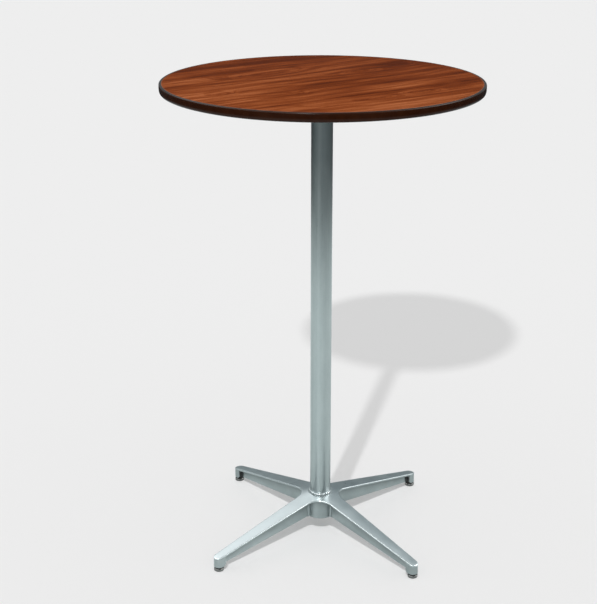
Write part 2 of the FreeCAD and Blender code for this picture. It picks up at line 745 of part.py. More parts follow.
def make_foot(number):
    """One levelling foot: insert, stud, collar, cup and pad, stacked on the foot's axis."""
    place = {"angle": FIRST_ARM + ARM_STEP * (number - 1), "radius": "FootRadius"}
    stem_radius = "(StemDiameter / 2)"
    insert_bore = "(StemDiameter / 2 + StemClearance)"
    insert_top = "(" + POST_UNDER + " + InsertLength)"
    corners = [
        (insert_bore, POST_UNDER),
        ("InsertDiameter / 2", POST_UNDER),
        ("InsertDiameter / 2", insert_top),
        (insert_bore, insert_top),
    ]
    turned_piece("glide_insert_%d" % number, corners, **place)

    head_under = "(PadHeight + GlideGap)"
    head_top = "(" + CUP_TOP + " - CupWall - GlideGap)"
    corners = [
        ("0", head_under),
        ("StemHeadDiameter / 2", head_under),
        ("StemHeadDiameter / 2", head_top),
        (stem_radius, head_top),
        (stem_radius, STEM_TOP + " - StemChamfer"),
        (stem_radius + " - StemChamfer", STEM_TOP),
        ("0", STEM_TOP),
    ]
    turned_piece("glide_stem_%d" % number, corners, **place)

    collar_top = "(" + COLLAR_UNDER + " + CollarHeight)"
    corners = [
        (stem_radius, COLLAR_UNDER),
        ("CollarDiameter / 2", COLLAR_UNDER),
        ("CollarDiameter / 2", collar_top),
        (stem_radius, collar_top),
    ]
    collar = turned_piece("glide_collar_%d" % number, corners, **place)
    notch_plan = new_sketch(collar, "notch_plan_%d" % number, "XY_Plane", COLLAR_UNDER)
    draw_circle(notch_plan, "CollarDiameter / 2", "0", "CollarNotchDiameter / 2")
    notch = extrude(collar, "notch_%d" % number, notch_plan, "CollarHeight", "Pocket")
    pattern(collar, "notches_%d" % number, [notch], COLLAR_NOTCH_COUNT)

    hole = "(StemDiameter / 2 + 2 * StemClearance)"
    rim = "(CupDiameter / 2)"
    inner_round = "(CupRound - CupWall)"
    ceiling = "(" + CUP_TOP + " - CupWall)"
    corners = [
        (rim + " - CupWall", "PadProud"),
        (rim, "PadProud"),
        (rim, CUP_TOP + " - CupRound"),
        (rim + " - CupRound", CUP_TOP),
        (hole, CUP_TOP),
        (hole, ceiling),
        (rim + " - CupRound", ceiling),
        (rim + " - CupWall", CUP_TOP + " - CupRound"),
    ]
    arcs = {2: ("CupRound", 1), 6: (inner_round, -1)}
    turned_piece("glide_cup_%d" % number, corners, arcs, **place)

    pad_radius = "(CupDiameter / 2 - CupWall)"
    corners = [
        ("0", "0"),
        (pad_radius + " - PadProud", "0"),
        (pad_radius, "PadProud"),
        (pad_radius, "PadHeight"),
        ("0", "PadHeight"),
    ]
    turned_piece("glide_pad_%d" % number, corners, **place)


# ---------------------------------------------------------------- check and write


def check_and_write():
    """Stops on any failed object or bad shape, and then writes one file for each node."""
    doc.recompute()
    failed = [o.Name for o in doc.Objects if {"Invalid", "Error"} & set(o.State)]
    if failed:
        raise RuntimeError("failed objects: " + ", ".join(failed))
    for node in nodes:
        if node.Shape.isNull() or not node.Shape.isValid():
            raise RuntimeError("bad shape: " + node.Label)
    os.makedirs("parts", exist_ok=True)
    for node in nodes:
        node.Shape.exportStep("parts/%s.step" % node.Label)
        print(
            "%-18s %d solids, %.1f cm3"
            % (node.Label, len(node.Shape.Solids), node.Shape.Volume / 1000)
        )


fill_sheet()
make_board()
make_sheets()
make_moulding()
make_top_plate()
make_plate_screws()
make_column()
make_tie_rod()
make_rod_fittings()
make_casting()
for foot in range(1, ARM_COUNT + 1):
    make_foot(foot)
check_and_write()
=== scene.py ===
"""The finished pub table: laminate top with a vinyl edge, satin column and a cast four-arm base.

Metres, +Z up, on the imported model's own frame: the origin is on the floor under the column's
axis, and the arms lie on the diagonals between X and Y.
"""

import math

import bmesh
import bpy
from mathutils import Matrix, Vector


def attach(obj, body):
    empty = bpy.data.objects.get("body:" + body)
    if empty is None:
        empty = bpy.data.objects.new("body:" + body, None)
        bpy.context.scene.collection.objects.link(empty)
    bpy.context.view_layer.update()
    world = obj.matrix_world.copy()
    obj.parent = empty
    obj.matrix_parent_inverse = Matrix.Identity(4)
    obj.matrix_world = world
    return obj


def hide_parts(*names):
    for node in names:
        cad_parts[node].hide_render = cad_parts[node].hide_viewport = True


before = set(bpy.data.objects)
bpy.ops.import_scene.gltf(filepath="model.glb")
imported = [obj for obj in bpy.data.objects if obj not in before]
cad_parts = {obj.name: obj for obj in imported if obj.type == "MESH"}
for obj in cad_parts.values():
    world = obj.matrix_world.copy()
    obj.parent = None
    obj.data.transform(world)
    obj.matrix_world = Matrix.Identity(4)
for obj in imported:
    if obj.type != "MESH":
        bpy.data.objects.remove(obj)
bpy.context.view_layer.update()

# The top: radii, and heights above the floor.
TOP_HEIGHT = 1.067
RIM_RADIUS = 0.350
SHEET_RADIUS = 0.3445
SHEET_UNDER = 1.066
BACKER_TOP = 1.048
TOP_UNDER = 1.0472

# The vinyl edge: where its upright side starts, the two corners below that, and its tongue.
EDGE_SIDE_UNDER = 1.0543
EDGE_LOWER_CORNERS = ((0.3474, 1.0481), (0.3492, 1.0504))
TONGUE_RADIUS = 0.3345
TONGUE_ROOT = (1.0558, 1.0582)
TONGUE_TIP = (1.0564, 1.0576)

# The column.
COLUMN_RADIUS = 0.0238
COLUMN_WALL = 0.0018
SOCKET_FLOOR = 0.062
COLUMN_TOP = 1.0372

# The base casting: the arms' upper surface is a cone that falls from the hub to the feet.
ARM_ANGLES = [math.radians(45 + 90 * quarter) for quarter in range(4)]
FOOT_RADIUS = 0.305
HUB_TOP = 0.0952
FOOT_TOP = 0.0349
FALL = (HUB_TOP - FOOT_TOP) / FOOT_RADIUS

# The flange: half widths at its ends, the notch between two arms, its edge and its crown.
ROOT_HALF_WIDTH = 0.0222
TIP_RADIUS = 0.0112
NOTCH_RADIUS = 0.040
FLANGE_THICKNESS = 0.0058
UPPER_ROUND = 0.0014
LOWER_ROUND = 0.0008
DRAFT = 0.0009
CROWN = 0.0004
CROWN_RISES = (0.040, 0.110)

# An arm's taper, and the centre of the notch's arc, which touches the sides of two arms.
TAPER = math.atan(ROOT_HALF_WIDTH / FOOT_RADIUS) - math.asin(
    TIP_RADIUS / math.hypot(ROOT_HALF_WIDTH, FOOT_RADIUS)
)
NOTCH_CORNER = ROOT_HALF_WIDTH / (1 + math.tan(TAPER))
NOTCH_CENTRE = NOTCH_CORNER + NOTCH_RADIUS / math.sin(math.radians(45) + TAPER) / math.sqrt(2)

# The flange's hidden inner edge inside the hub: its distance along an arm and at the notch.
INNER_EDGE = 0.018
INNER_CORNER = 0.0127

# Shares of a flange's outline at which its notch and its straight side end, and of the notch
# at which the inner edge ends.
NOTCH_SHARE = 0.26
SIDE_SHARE = 0.82
INNER_SHARE = 0.4

# The web under an arm, along the arm: a rounded rib at the hub, an even stretch, a round end.
WEB_ROOT = (0.026, 0.0044)
WEB_START = 0.02895
WEB_EVEN_END = 0.2860
WEB_END = 0.2875
WEB_ROUND_END = ((0.2868, 0.0034), (0.2872, 0.0032), (WEB_END, 0.0027))
WEB_UNDER_HUB = 0.0395
WEB_UNDER_TIP = 0.0136
WEB_HALF = 0.0035
RIB_CENTRE = 0.0372
RIB_HALF_LENGTH = 0.0058
RIB_BULGE = 0.0026
RIB_FULLNESS = 0.6
RIB_TO_EVEN = 0.0004

# The web's section: its foot's rounding and lean, its fillet, and how far it enters the flange.
WEB_FOOT = 0.0012
WEB_LEAN = 0.0003
WEB_FILLET = 0.0030
WEB_OVERLAP = 0.0012

# The hub: a boss with a groove on either side of each arm, and a recess below for the rod's nut.
HUB_RADIUS = 0.034
HUB_UNDER = 0.034
BOSS_GROOVED_TO = 0.0800
BOSS_TOP = 0.0852
BORE_RADIUS = COLUMN_RADIUS + 0.0001
RECESS_RADIUS = 0.020
RECESS_ROOF = 0.054
ROD_HOLE_RADIUS = 0.0065
GROOVE_DEPTH = 0.0017
GROOVE_FROM_ARM = 11.2
GROOVE_HALF_WIDTHS = (0.6, 1.5)

# The lip staked round the column, and the marks in its outer side, with their angles in degrees.
LIP_RADIUS = 0.0285
LIP_HEIGHT = 0.0064
LIP_FOOT = HUB_TOP - FALL * LIP_RADIUS
LIP_CORNER = LIP_FOOT + LIP_HEIGHT * 0.55
LIP_TOP = LIP_FOOT + LIP_HEIGHT
LIP_CREST = 0.0024
LIP_SIDE = 0.0262
MARK_PITCH = 12
MARK_DEPTH = 0.0026
MARK_DEPTH_SWING = 0.0006
MARK_SWING_STEP = 2.4
MARK_HALF_WIDTHS = (1.6, 4.0)
MARK_DROP = 0.35
MARK_DROPS_ABOVE = LIP_FOOT + 0.004

# The hollow post over each foot: its heights, its inside, and its cheeks toward the column.
POST_UNDER = 0.0102
POST_ROOF = 0.02725
POST_BORE = 0.0093
POST_GAP = 0.0090
POST_CHEEK = 0.0115
POST_SINK = 0.0034
CHEEK_ROUND = 0.0080

# A levelling foot, about its own axis and above the floor.
INSERT_RADIUS = 0.00925
INSERT_BORE = 0.00405
INSERT_TOP = 0.0272
CUP_RADIUS = 0.0111
CUP_UNDER = 0.0010
CUP_TOP = 0.0064
CUP_ROOF = 0.0056
CUP_HOLE = 0.0041
PAD_RADIUS = 0.0103
PAD_TOP = 0.0030
STUD_RADIUS = 0.0040
STUD_END_RADIUS = 0.0030
STUD_TOP = 0.0262
STUD_HEAD_RADIUS = 0.0060
STUD_HEAD_UNDER = 0.0032
STUD_HEAD_TOP = 0.0054
THREAD_ROOT = 0.0037
THREAD_START = 0.0103
THREAD_PITCH = 0.00125
THREAD_TURNS = 12
COLLAR_RADIUS = 0.0106
COLLAR_UNDER = 0.0066
COLLAR_TOP = 0.0100

# The collar's knurl: how deep, how many degrees from rib to rib, and half a rib's width in them.
KNURL_DEPTH = 0.0007
KNURL_PITCH = 18
KNURL_HALF_WIDTHS = (1.5, 4.5)

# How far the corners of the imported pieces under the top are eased.
PLATE_EASING = 0.0008
SCREW_EASING = 0.0004
ROD_EASING = 0.0003

# Steps round a turned piece.
TOP_STEPS = 288
COLUMN_STEPS = 160
HUB_STEPS = 360
FOOT_STEPS = 64
STUD_STEPS = 40
COLLAR_STEPS = 160

# How near points count as one: of a made shape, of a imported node, and at the flanges' seams.
TOUCHING = 1e-7
PACKED_TOUCHING = 1e-6
SEAM_TOUCHING = 2e-6

# The camera, in metres, radians and pixels of a picture 604 pixels high, and its sensor.
CAMERA_TURN = 0.0462
CAMERA_TILT = (0.2972, -0.0185, -0.0002)
CAMERA_DISTANCE = 2.7694
CAMERA_HEIGHT = 1.5573
FOCAL_PIXELS = 1301.3
AXIS_PIXEL = 240.0
PICTURE_SIDE = 604.0
SENSOR_WIDTH = 36.0
SEEN_AS_FAR_AS = 200.0

# The light: where each lamp's light goes, its spread in degrees, and its share of all that
# falls on the floor. The sky gives the rest.
KEY_TOWARD = (0.236, 1.318, -1.057)
KEY_SPREAD = 2.0
KEY_SHARE = 0.215
HIGH_TOWARD = (0.06, 0.70, -1.0)
HIGH_SPREAD = 5.0
HIGH_SHARE = 0.375
SKY_SHARE = 1 - KEY_SHARE - HIGH_SHARE

# What polished metal sees of the sky: its tint, its strength at two elevations in degrees, and
# broad pale panels, by direction, half width in degrees and strength.
SKY_TINT = (0.80, 0.95, 1.0)
SKY_LOW = (8, 0.29)
SKY_HIGH = (50, 0.52)
PANELS = (
    ((-0.34, -0.55, 0.77), 24, 2.4),
    ((0.52, -0.55, 0.66), 10, 2.0),
    ((-0.76, 0.00, 0.65), 15, 3.8),
    ((0.77, 0.08, 0.65), 21, 4.8),
    ((-0.46, 0.59, 0.66), 17, 1.7),
    ((0.58, 0.57, 0.58), 13, 1.9),
    ((0.02, 0.46, 0.89), 13, 1.0),
)
PANEL_EDGE = 0.35

# The floor's paper, and what polished metal sees of it: from dim to pale by shares at distances
# of so many times its reach, brighter on its lit side, with a pale strip in the middle of that.
PAPER = 0.855
FLOOR_HALF = 60
FLOOR_REACH = 5.0
FLOOR_PALE = (0.76, 0.85, 0.85)
FLOOR_DIM = (0.038, 0.045, 0.047)
FLOOR_SHARES = (
    (0.02, 0.66),
    (0.06, 0.92),
    (0.12, 0.94),
    (0.20, 0.95),
    (0.30, 1.04),
    (0.45, 0.98),
    (0.62, 0.34),
    (0.80, 0.0),
)
LIT_SIDE = (-0.46, -0.888, 0.0)
LIT_FROM, LIT_FULL = 0.20, 1.0
UNLIT_GAIN, LIT_GAIN = 1.04, 1.19
LIT_STRIP = ((0.950, 0.0), (0.990, 0.13))

# The walnut print: the grain's direction, and how many growth lines there are in a metre.
GRAIN_TURN = math.radians(39)
LINES_IN_A_METRE = 13.0

# Eyes in the grain: place, half length and width, how far they bend the lines, how dark they are.
EYES = (
    (-0.201, -0.173, 0.060, 0.040, 1.9, 0.07),
    (0.210, -0.111, 0.090, 0.036, -2.3, 0.05),
    (-0.041, -0.151, 0.045, 0.036, 0.9, 0.18),
    (0.078, 0.134, 0.110, 0.040, -1.8, 0.15),
    (0.170, 0.222, 0.075, 0.045, 1.2, 0.22),
    (-0.120, 0.080, 0.240, 0.070, 2.2, 0.04),
    (0.131, -0.182, 0.100, 0.030, 1.2, 0.06),
)

# Noises stretched along the grain: scale along and across it, start, detail, roughness, weight.
LINE_BENDS = (
    (1.0, 3.0, (4.0, 2.0), 2.0, 0.5, 3.4),
    (3.0, 9.0, (3.1, 1.7), 3.0, 0.5, 1.5),
)
FINE_STREAKS = (6.0, 75.0, (7.0, 2.0), 3.0, 0.6, 0.95)
BROAD_STREAKS = (
    (2.2, 27.0, (1.0, 5.0), 4.0, 0.6, 0.85),
    (2.0, 8.0, (9.0, 5.0), 2.0, 0.5, 0.42),
)

# Growth lines and the finer late ones: how many for one, where on a wave they start, their tone.
GROWTH_LINES = (
    (1, 0.45, -0.16),
    (3, 0.35, -0.12),
)

# The print's colours by tone, and its tone at the middle and its change for each metre back.
WALNUT_COLOURS = (
    (0.18, (0.074, 0.0130, 0.0026)),
    (0.36, (0.142, 0.0280, 0.0058)),
    (0.50, (0.208, 0.0460, 0.0110)),
    (0.64, (0.278, 0.0720, 0.0205)),
    (0.84, (0.400, 0.1220, 0.0440)),
)
WALNUT_TONE = 0.52
WALNUT_TONE_BACK = -0.50

# Speckle in the print: scale, detail and weight. Its pores, by noise, and a pale line along
# the sheet's rim, by the share of its radius, each with a colour.
SPECKLE = (330.0, 2.0, 0.24)
PORES = ((0.60, 0.0), (0.70, 0.40))
PORE_COLOUR = (0.055, 0.013, 0.005)
SHEET_RIM_LINE = ((0.9945, 0.0), (0.9980, 0.7))
SHEET_RIM_COLOUR = (0.28, 0.115, 0.065)

# The casting's polish, with a highlight painted along its edges: on how sharp an edge, how deep,
# and how both fade on the rear arms, by tenths of a metre behind the column.
SHARP_EDGES = ((0.508, 0.0), (0.522, 1.0))
POLISHED_DEPTH = 0.0013
REAR_POLISH_AND_HIGHLIGHT = ((0.1, 1.0), (0.4, 0.15))

# The casting's painted shade under its flanges, by depth in shares of a span, made uneven by so
# much, and the even painted shade of its posts, from so far out and so far below the arms'
# upper surface.
PAINTED_SHADE_SPAN = 0.05
PAINTED_SHADE_UNEVENNESS = 0.006
PAINTED_SHADE_UNDER_FLANGE = (
    (0.060, 1.0),
    (0.10, 0.50),
    (0.15, 0.33),
    (0.24, 0.50),
    (0.34, 0.68),
    (0.60, 0.92),
)
PAINTED_POST_SHADE = (0.75, 0.75, 0.75)
POST_STARTS = ((0.284, 0.0), (0.290, 1.0))
POST_MARGIN = 0.004

# The shade painted in the lip's marks: the ring it keeps to, and how it fades from a mark's middle.
MARKS_INNER = 0.0270
MARKS_OUTER = LIP_RADIUS + 0.0008
MARK_SHADE_FADES = ((0.07, 1.0), (0.20, 0.0))


# ---------------------------------------------------------------- modelling


def smooth(low, high, x):
    """0 below low, 1 above high, and an easy curve between."""
    share = min(max((x - low) / (high - low), 0.0), 1.0)
    return share * share * (3 - 2 * share)


def soften(bm, edges, offset, segments):
    """Rounds these edges."""
    bmesh.ops.bevel(
        bm,
        geom=list(edges),
        offset=offset,
        offset_type="OFFSET",
        segments=segments,
        profile=0.5,
        affect="EDGES",
        material=-1,
        clamp_overlap=True,
    )


def finished(name, bm, finish, stands_for, slot, body="table", sharp=35.0):
    """Closes the mesh, shades it, gives it its finish and sets it on its body."""
    mesh = bpy.data.meshes.new(name)
    bm.to_mesh(mesh)
    bm.free()
    mesh.shade_smooth()
    mesh.set_sharp_from_angle(angle=math.radians(sharp))
    mesh.materials.append(finish)
    piece = bpy.data.objects.new(name, mesh)
    bpy.context.scene.collection.objects.link(piece)
    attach(piece, body)
    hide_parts(*stands_for)
    return piece


def add_turned(bm, section, steps, centre=(0.0, 0.0)):
    """Spins a closed half section of (radius, height, softening) corners into bm."""
    corners = [bm.verts.new((radius, 0, height)) for radius, height, _ in section]
    for start, end in zip(corners, corners[1:] + corners[:1]):
        bm.edges.new((start, end))
    softened = [(corner, size) for corner, (_, _, size) in zip(corners, section) if size]
    before = set(bm.verts) - set(corners)
    for corner, size in softened:
        bmesh.ops.bevel(
            bm,
            geom=[corner],
            offset=size,
            offset_type="OFFSET",
            segments=4,
            profile=0.5,
            affect="VERTICES",
            material=-1,
        )
    ring = [v for v in bm.verts if v not in before]
    edges = list({e for v in ring for e in v.link_edges})
    bmesh.ops.spin(
        bm,
        geom=ring + edges,
        axis=(0, 0, 1),
        angle=math.tau,
        steps=steps,
        use_merge=True,
    )
    made = [v for v in bm.verts if v not in before]
    bmesh.ops.remove_doubles(bm, verts=made, dist=TOUCHING)
    made = [v for v in bm.verts if v not in before]
    bmesh.ops.translate(bm, verts=made, vec=(*centre, 0))
    return made


def turned(name, section, finish, steps, centre=(0.0, 0.0), **how):
    """A piece turned on a lathe."""
    bm = bmesh.new()
    add_turned(bm, section, steps, centre)
    bmesh.ops.recalc_face_normals(bm, faces=bm.faces)
    return finished(name, bm, finish, **how)


def eased_copy(name, node, finish, easing, slot):
    """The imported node's shape, its triangles joined into faces and its corners eased."""
    flat, sharp = 0.5, 30.0
    bm = bmesh.new()
    bm.from_mesh(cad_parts[node].data)
    bmesh.ops.remove_doubles(bm, verts=bm.verts, dist=PACKED_TOUCHING)
    bmesh.ops.dissolve_limit(bm, angle_limit=math.radians(flat), verts=bm.verts, edges=bm.edges)
    inner = [e for e in bm.edges if len(e.link_faces) == 2]
    corners = [e for e in inner if e.calc_face_angle() > math.radians(sharp)]
    soften(bm, corners, easing, segments=2)
    return finished(name, bm, finish, (node,), slot, sharp=sharp)


# ---------------------------------------------------------------- finishes


def add_node(tree, kind, settings=None, **inputs):
    """A node with its settings, and its inputs as numbers or as other nodes' outputs.

    An input is called by its name, or by i and its number.
    """
    node = tree.nodes.new(kind)
    for key, setting in (settings or {}).items():
        setattr(node, key, setting)
    for key, source in inputs.items():
        socket = node.inputs[int(key[1:]) if key[1:].isdigit() else key]
        if isinstance(source, bpy.types.NodeSocket):
            tree.links.new(source, socket)
        else:
            socket.default_value = source
    return node


class Finish:
    """A material and short calls to add its nodes."""

    def __init__(self, name, **surface):
        self.material = bpy.data.materials.new(name)
        self.material.use_nodes = True
        self.tree = self.material.node_tree
        self.shader = self.tree.nodes["Principled BSDF"]
        for socket, number in surface.items():
            self.shader.inputs[socket.replace("_", " ")].default_value = number

    def add(self, kind, settings=None, **inputs):
        return add_node(self.tree, kind, settings, **inputs)

    def place(self, turn=0.0, stretch=(1, 1, 1), centre=(0, 0, 0)):
        """Object coordinates seen from a centre, turned about Z, then multiplied per axis."""
        where = self.add("ShaderNodeTexCoord").outputs["Object"]
        inputs = {"Vector": where, "Location": centre, "Rotation": (0, 0, turn)}
        inputs["Scale"] = [1 / number for number in stretch]
        settings = {"vector_type": "TEXTURE"}
        return self.add("ShaderNodeMapping", settings, **inputs).outputs["Vector"]

    def split(self, turn=0.0):
        """Object coordinates turned about Z, as the outputs X, Y and Z."""
        return self.add("ShaderNodeSeparateXYZ", Vector=self.place(turn)).outputs

    def flat(self):
        """Object coordinates without their height."""
        return self.vector("MULTIPLY", self.place(), (1, 1, 0)).outputs[0]

    def from_axis(self):
        """Distance from the column's axis."""
        return self.vector("LENGTH", self.flat()).outputs["Value"]

    def vector(self, operation, first, second=(0, 0, 0)):
        return self.add("ShaderNodeVectorMath", {"operation": operation}, i0=first, i1=second)

    def noise(self, where, scale, detail, roughness):
        inputs = {"Vector": where, "Scale": scale, "Detail": detail, "Roughness": roughness}
        return self.add("ShaderNodeTexNoise", **inputs).outputs["Fac"]

    def even_noise(self, scale, detail=3.0, roughness=0.5):
        """Noise of one scale all ways."""
        return self.noise(self.place(), scale, detail, roughness)

    def drawn_noise(self, stretch, detail, roughness=0.5, turn=0.0, centre=(0, 0, 0)):
        """Noise with a scale of its own for each axis, turned about Z."""
        return self.noise(self.place(turn, stretch, centre), 1.0, detail, roughness)

    def math(self, operation, first, second=0.0, third=0.0):
        settings = {"operation": operation}
        return self.add("ShaderNodeMath", settings, i0=first, i1=second, i2=third).outputs[0]

    def stirred(self, tone, *noises):
        """A tone moved by (noise, weight) pairs, each noise counted from its middle."""
        for noise, weight in noises:
            tone = self.math("MULTIPLY_ADD", self.math("SUBTRACT", noise, 0.5), weight, tone)
        return tone

    def ramp(self, value, *stops):
        """Colours or greys along a value."""
        node = self.add("ShaderNodeValToRGB", Fac=value)
        band = node.color_ramp
        while len(band.elements) < len(stops):
            band.elements.new(0.5)
        for element, (position, colour) in zip(band.elements, stops):
            element.position = position
            shade = colour if isinstance(colour, tuple) else (colour,) * 3
            element.color = (*shade, 1)
        return node.outputs["Color"]

    def between(self, noise, low, high):
        """From one colour or grey to another over the range that most of a noise is in."""
        return self.ramp(noise, (0.3, low), (0.7, high))

    def mix(self, share, first, second, blend="MIX"):
        """Two colours, the second by its share."""
        settings = {"data_type": "RGBA", "blend_type": blend}
        sources = [s if isinstance(s, bpy.types.NodeSocket) else (*s, 1) for s in (first, second)]
        return self.add("ShaderNodeMix", settings, i0=share, i6=sources[0], i7=sources[1]).outputs[2]

    def set(self, socket, source):
        self.tree.links.new(source, self.shader.inputs[socket])

    def bump(self, height, strength, distance):
        node = self.add("ShaderNodeBump", Height=height, Strength=strength, Distance=distance)
        self.set("Normal", node.outputs["Normal"])


def grain(look, along, across, start, detail, roughness):
    """Noise stretched along the walnut's grain."""
    centre = (*start, TOP_HEIGHT)
    return look.drawn_noise((along, across, 1), detail, roughness, GRAIN_TURN, centre)


def growth(look):
    """How many growth lines a point lies across the grain, and how dark the eyes make it."""
    lines = look.math("MULTIPLY", look.split(GRAIN_TURN)["Y"], LINES_IN_A_METRE)
    for *noise, bend in LINE_BENDS:
        lines = look.math("MULTIPLY_ADD", grain(look, *noise), bend, lines)
    shade = 0.0
    for x, y, long, wide, bend, dark in EYES:
        eye = look.place(GRAIN_TURN, (1 / long, 1 / wide, 1), (x, y, TOP_HEIGHT))
        settings = {"gradient_type": "QUADRATIC_SPHERE"}
        rise = look.add("ShaderNodeTexGradient", settings, Vector=eye).outputs["Fac"]
        lines = look.math("MULTIPLY_ADD", rise, bend, lines)
        shade = look.math("MULTIPLY_ADD", rise, dark, shade)
    return lines, shade


def walnut_laminate():
    """Red-brown walnut print: long streaks, growth lines bent round a few eyes, and fine pores."""
    look = Finish("walnut_laminate", Specular_IOR_Level=0.008)
    lines, shade = growth(look)
    tone = look.math("MULTIPLY_ADD", look.split()["Y"], WALNUT_TONE_BACK, WALNUT_TONE)
    for count, start, dark in GROWTH_LINES:
        wave = look.math("SINE", look.math("MULTIPLY", lines, math.tau * count))
        tone = look.math("MULTIPLY_ADD", look.ramp(wave, (start, 0.0), (1.0, 1.0)), dark, tone)
    tone = look.math("SUBTRACT", tone, shade)
    fine = grain(look, *FINE_STREAKS[:-1])
    broad = [(grain(look, *noise), weight) for *noise, weight in BROAD_STREAKS]
    speckle = look.even_noise(*SPECKLE[:-1])
    tone = look.stirred(tone, (fine, FINE_STREAKS[-1]), *broad, (speckle, SPECKLE[-1]))
    wood = look.ramp(tone, *WALNUT_COLOURS)
    pores = look.drawn_noise((60.0, 1500.0, 1), 1.0, turn=GRAIN_TURN)
    wood = look.mix(look.ramp(pores, *PORES), wood, PORE_COLOUR)
    reach = look.math("MULTIPLY", look.from_axis(), 1 / SHEET_RADIUS)
    wood = look.mix(look.ramp(reach, *SHEET_RIM_LINE), wood, SHEET_RIM_COLOUR)
    look.set("Base Color", wood)
    look.set("Roughness", look.between(fine, 0.54, 0.64))
    look.bump(look.drawn_noise((400, 1500, 400), 2.0, turn=GRAIN_TURN), 0.08, 0.0002)
    return look.material


def brown_vinyl():
    """Glossy vinyl of a very dark brown, faintly blotched."""
    dark, pale = (0.0170, 0.0040, 0.0010), (0.0240, 0.0064, 0.0018)
    look = Finish("brown_vinyl", Specular_IOR_Level=0.13)
    look.set("Base Color", look.between(look.even_noise(60.0), dark, pale))
    look.set("Roughness", look.between(look.even_noise(25.0, 2.0), 0.17, 0.26))
    look.bump(look.even_noise(900.0, 2.0), 0.05, 0.0002)
    return look.material


def raw_board():
    """Particle board: pale and dark chips."""
    dark, pale = (0.30, 0.19, 0.10), (0.62, 0.45, 0.28)
    look = Finish("raw_particle_board", Roughness=0.85)
    chips = look.even_noise(260.0, 4.0, 0.7)
    look.set("Base Color", look.between(chips, dark, pale))
    look.bump(chips, 0.4, 0.0006)
    return look.material


def backer_paper():
    """Matt brown backing paper with fibres in it."""
    dark, pale = (0.050, 0.036, 0.027), (0.082, 0.060, 0.045)
    look = Finish("backer_paper", Roughness=0.62, Specular_IOR_Level=0.3)
    mottle = look.even_noise(14.0, 5.0, 0.6)
    fibres = look.drawn_noise((60, 700, 1), 3.0, turn=0.3)
    tone = look.math("MULTIPLY_ADD", fibres, 0.3, look.math("MULTIPLY", mottle, 0.7))
    look.set("Base Color", look.between(tone, dark, pale))
    look.bump(fibres, 0.12, 0.0003)
    return look.material


def plate_paint():
    """Black half-gloss paint with a faint orange peel."""
    look = Finish("plate_paint", Specular_IOR_Level=0.5)
    peel = look.even_noise(420.0, 2.0)
    look.set("Base Color", look.between(look.even_noise(45.0), 0.018, 0.028))
    look.set("Roughness", look.between(peel, 0.32, 0.46))
    look.bump(peel, 0.35, 0.0003)
    return look.material


def satin_column():
    """Clear-coated tube: drawn along its length, with faint streaks and soft cloudy patches."""
    dark, pale = (0.365, 0.405, 0.41), (0.545, 0.58, 0.58)
    look = Finish("satin_column", Metallic=1.0)
    drawn = look.drawn_noise((900, 900, 5), 3.0, 0.6)
    streaks = look.drawn_noise((75, 75, 1.1), 2.0)
    cloud = look.drawn_noise((38, 38, 11), 4.0, 0.6)
    speck = look.even_noise(700.0, 2.0)
    tone = look.stirred(0.5, (streaks, 0.38), (cloud, 0.48), (drawn, 0.3), (speck, 0.3))
    look.set("Base Color", look.ramp(tone, (0.22, dark), (0.78, pale)))
    look.set("Roughness", look.ramp(tone, (0.25, 0.26), (0.75, 0.35)))
    look.bump(drawn, 0.10, 0.0002)
    return look.material


def polished_and_highlit_edges(look, out, below, back):
    """Polish and painted highlight: 1 on the arms' upper edges outside the lip, less on rear arms, else
    0.
    """
    pointed = look.add("ShaderNodeNewGeometry").outputs["Pointiness"]
    edge = look.ramp(pointed, *SHARP_EDGES)
    edge = look.math("MULTIPLY", edge, look.math("LESS_THAN", below, POLISHED_DEPTH))
    edge = look.math("MULTIPLY", edge, look.math("GREATER_THAN", out, MARKS_OUTER))
    decimetres = look.math("MULTIPLY", back, 10.0)
    return look.math("MULTIPLY", edge, look.ramp(decimetres, *REAR_POLISH_AND_HIGHLIGHT))


def painted_flange_shade(look, cloud, out, below):
    """Painted shade on the casting below its arms: dark under a flange, and even on the posts."""
    depth = look.math("SUBTRACT", below, PAINTED_SHADE_UNEVENNESS / 2)
    depth = look.math("MULTIPLY_ADD", cloud, PAINTED_SHADE_UNEVENNESS, depth)
    shade = look.ramp(look.math("MULTIPLY", depth, 1 / PAINTED_SHADE_SPAN), *PAINTED_SHADE_UNDER_FLANGE)
    lower = look.math("GREATER_THAN", below, POST_MARGIN)
    post = look.math("MULTIPLY", look.ramp(out, *POST_STARTS), lower)
    return look.mix(post, shade, PAINTED_POST_SHADE)


def lip_mark_shade(look, out, turn):
    """Where shade is painted into the staking marks round the lip: 1 in them, and 0 elsewhere."""
    pitch = math.radians(MARK_PITCH)
    from_mark = look.math("DIVIDE", look.math("PINGPONG", turn, pitch / 2), pitch)
    within = look.math("LESS_THAN", out, MARKS_OUTER)
    beyond = look.math("GREATER_THAN", out, MARKS_INNER)
    ring = look.math("MULTIPLY", within, beyond)
    return look.math("MULTIPLY", ring, look.ramp(from_mark, *MARK_SHADE_FADES))


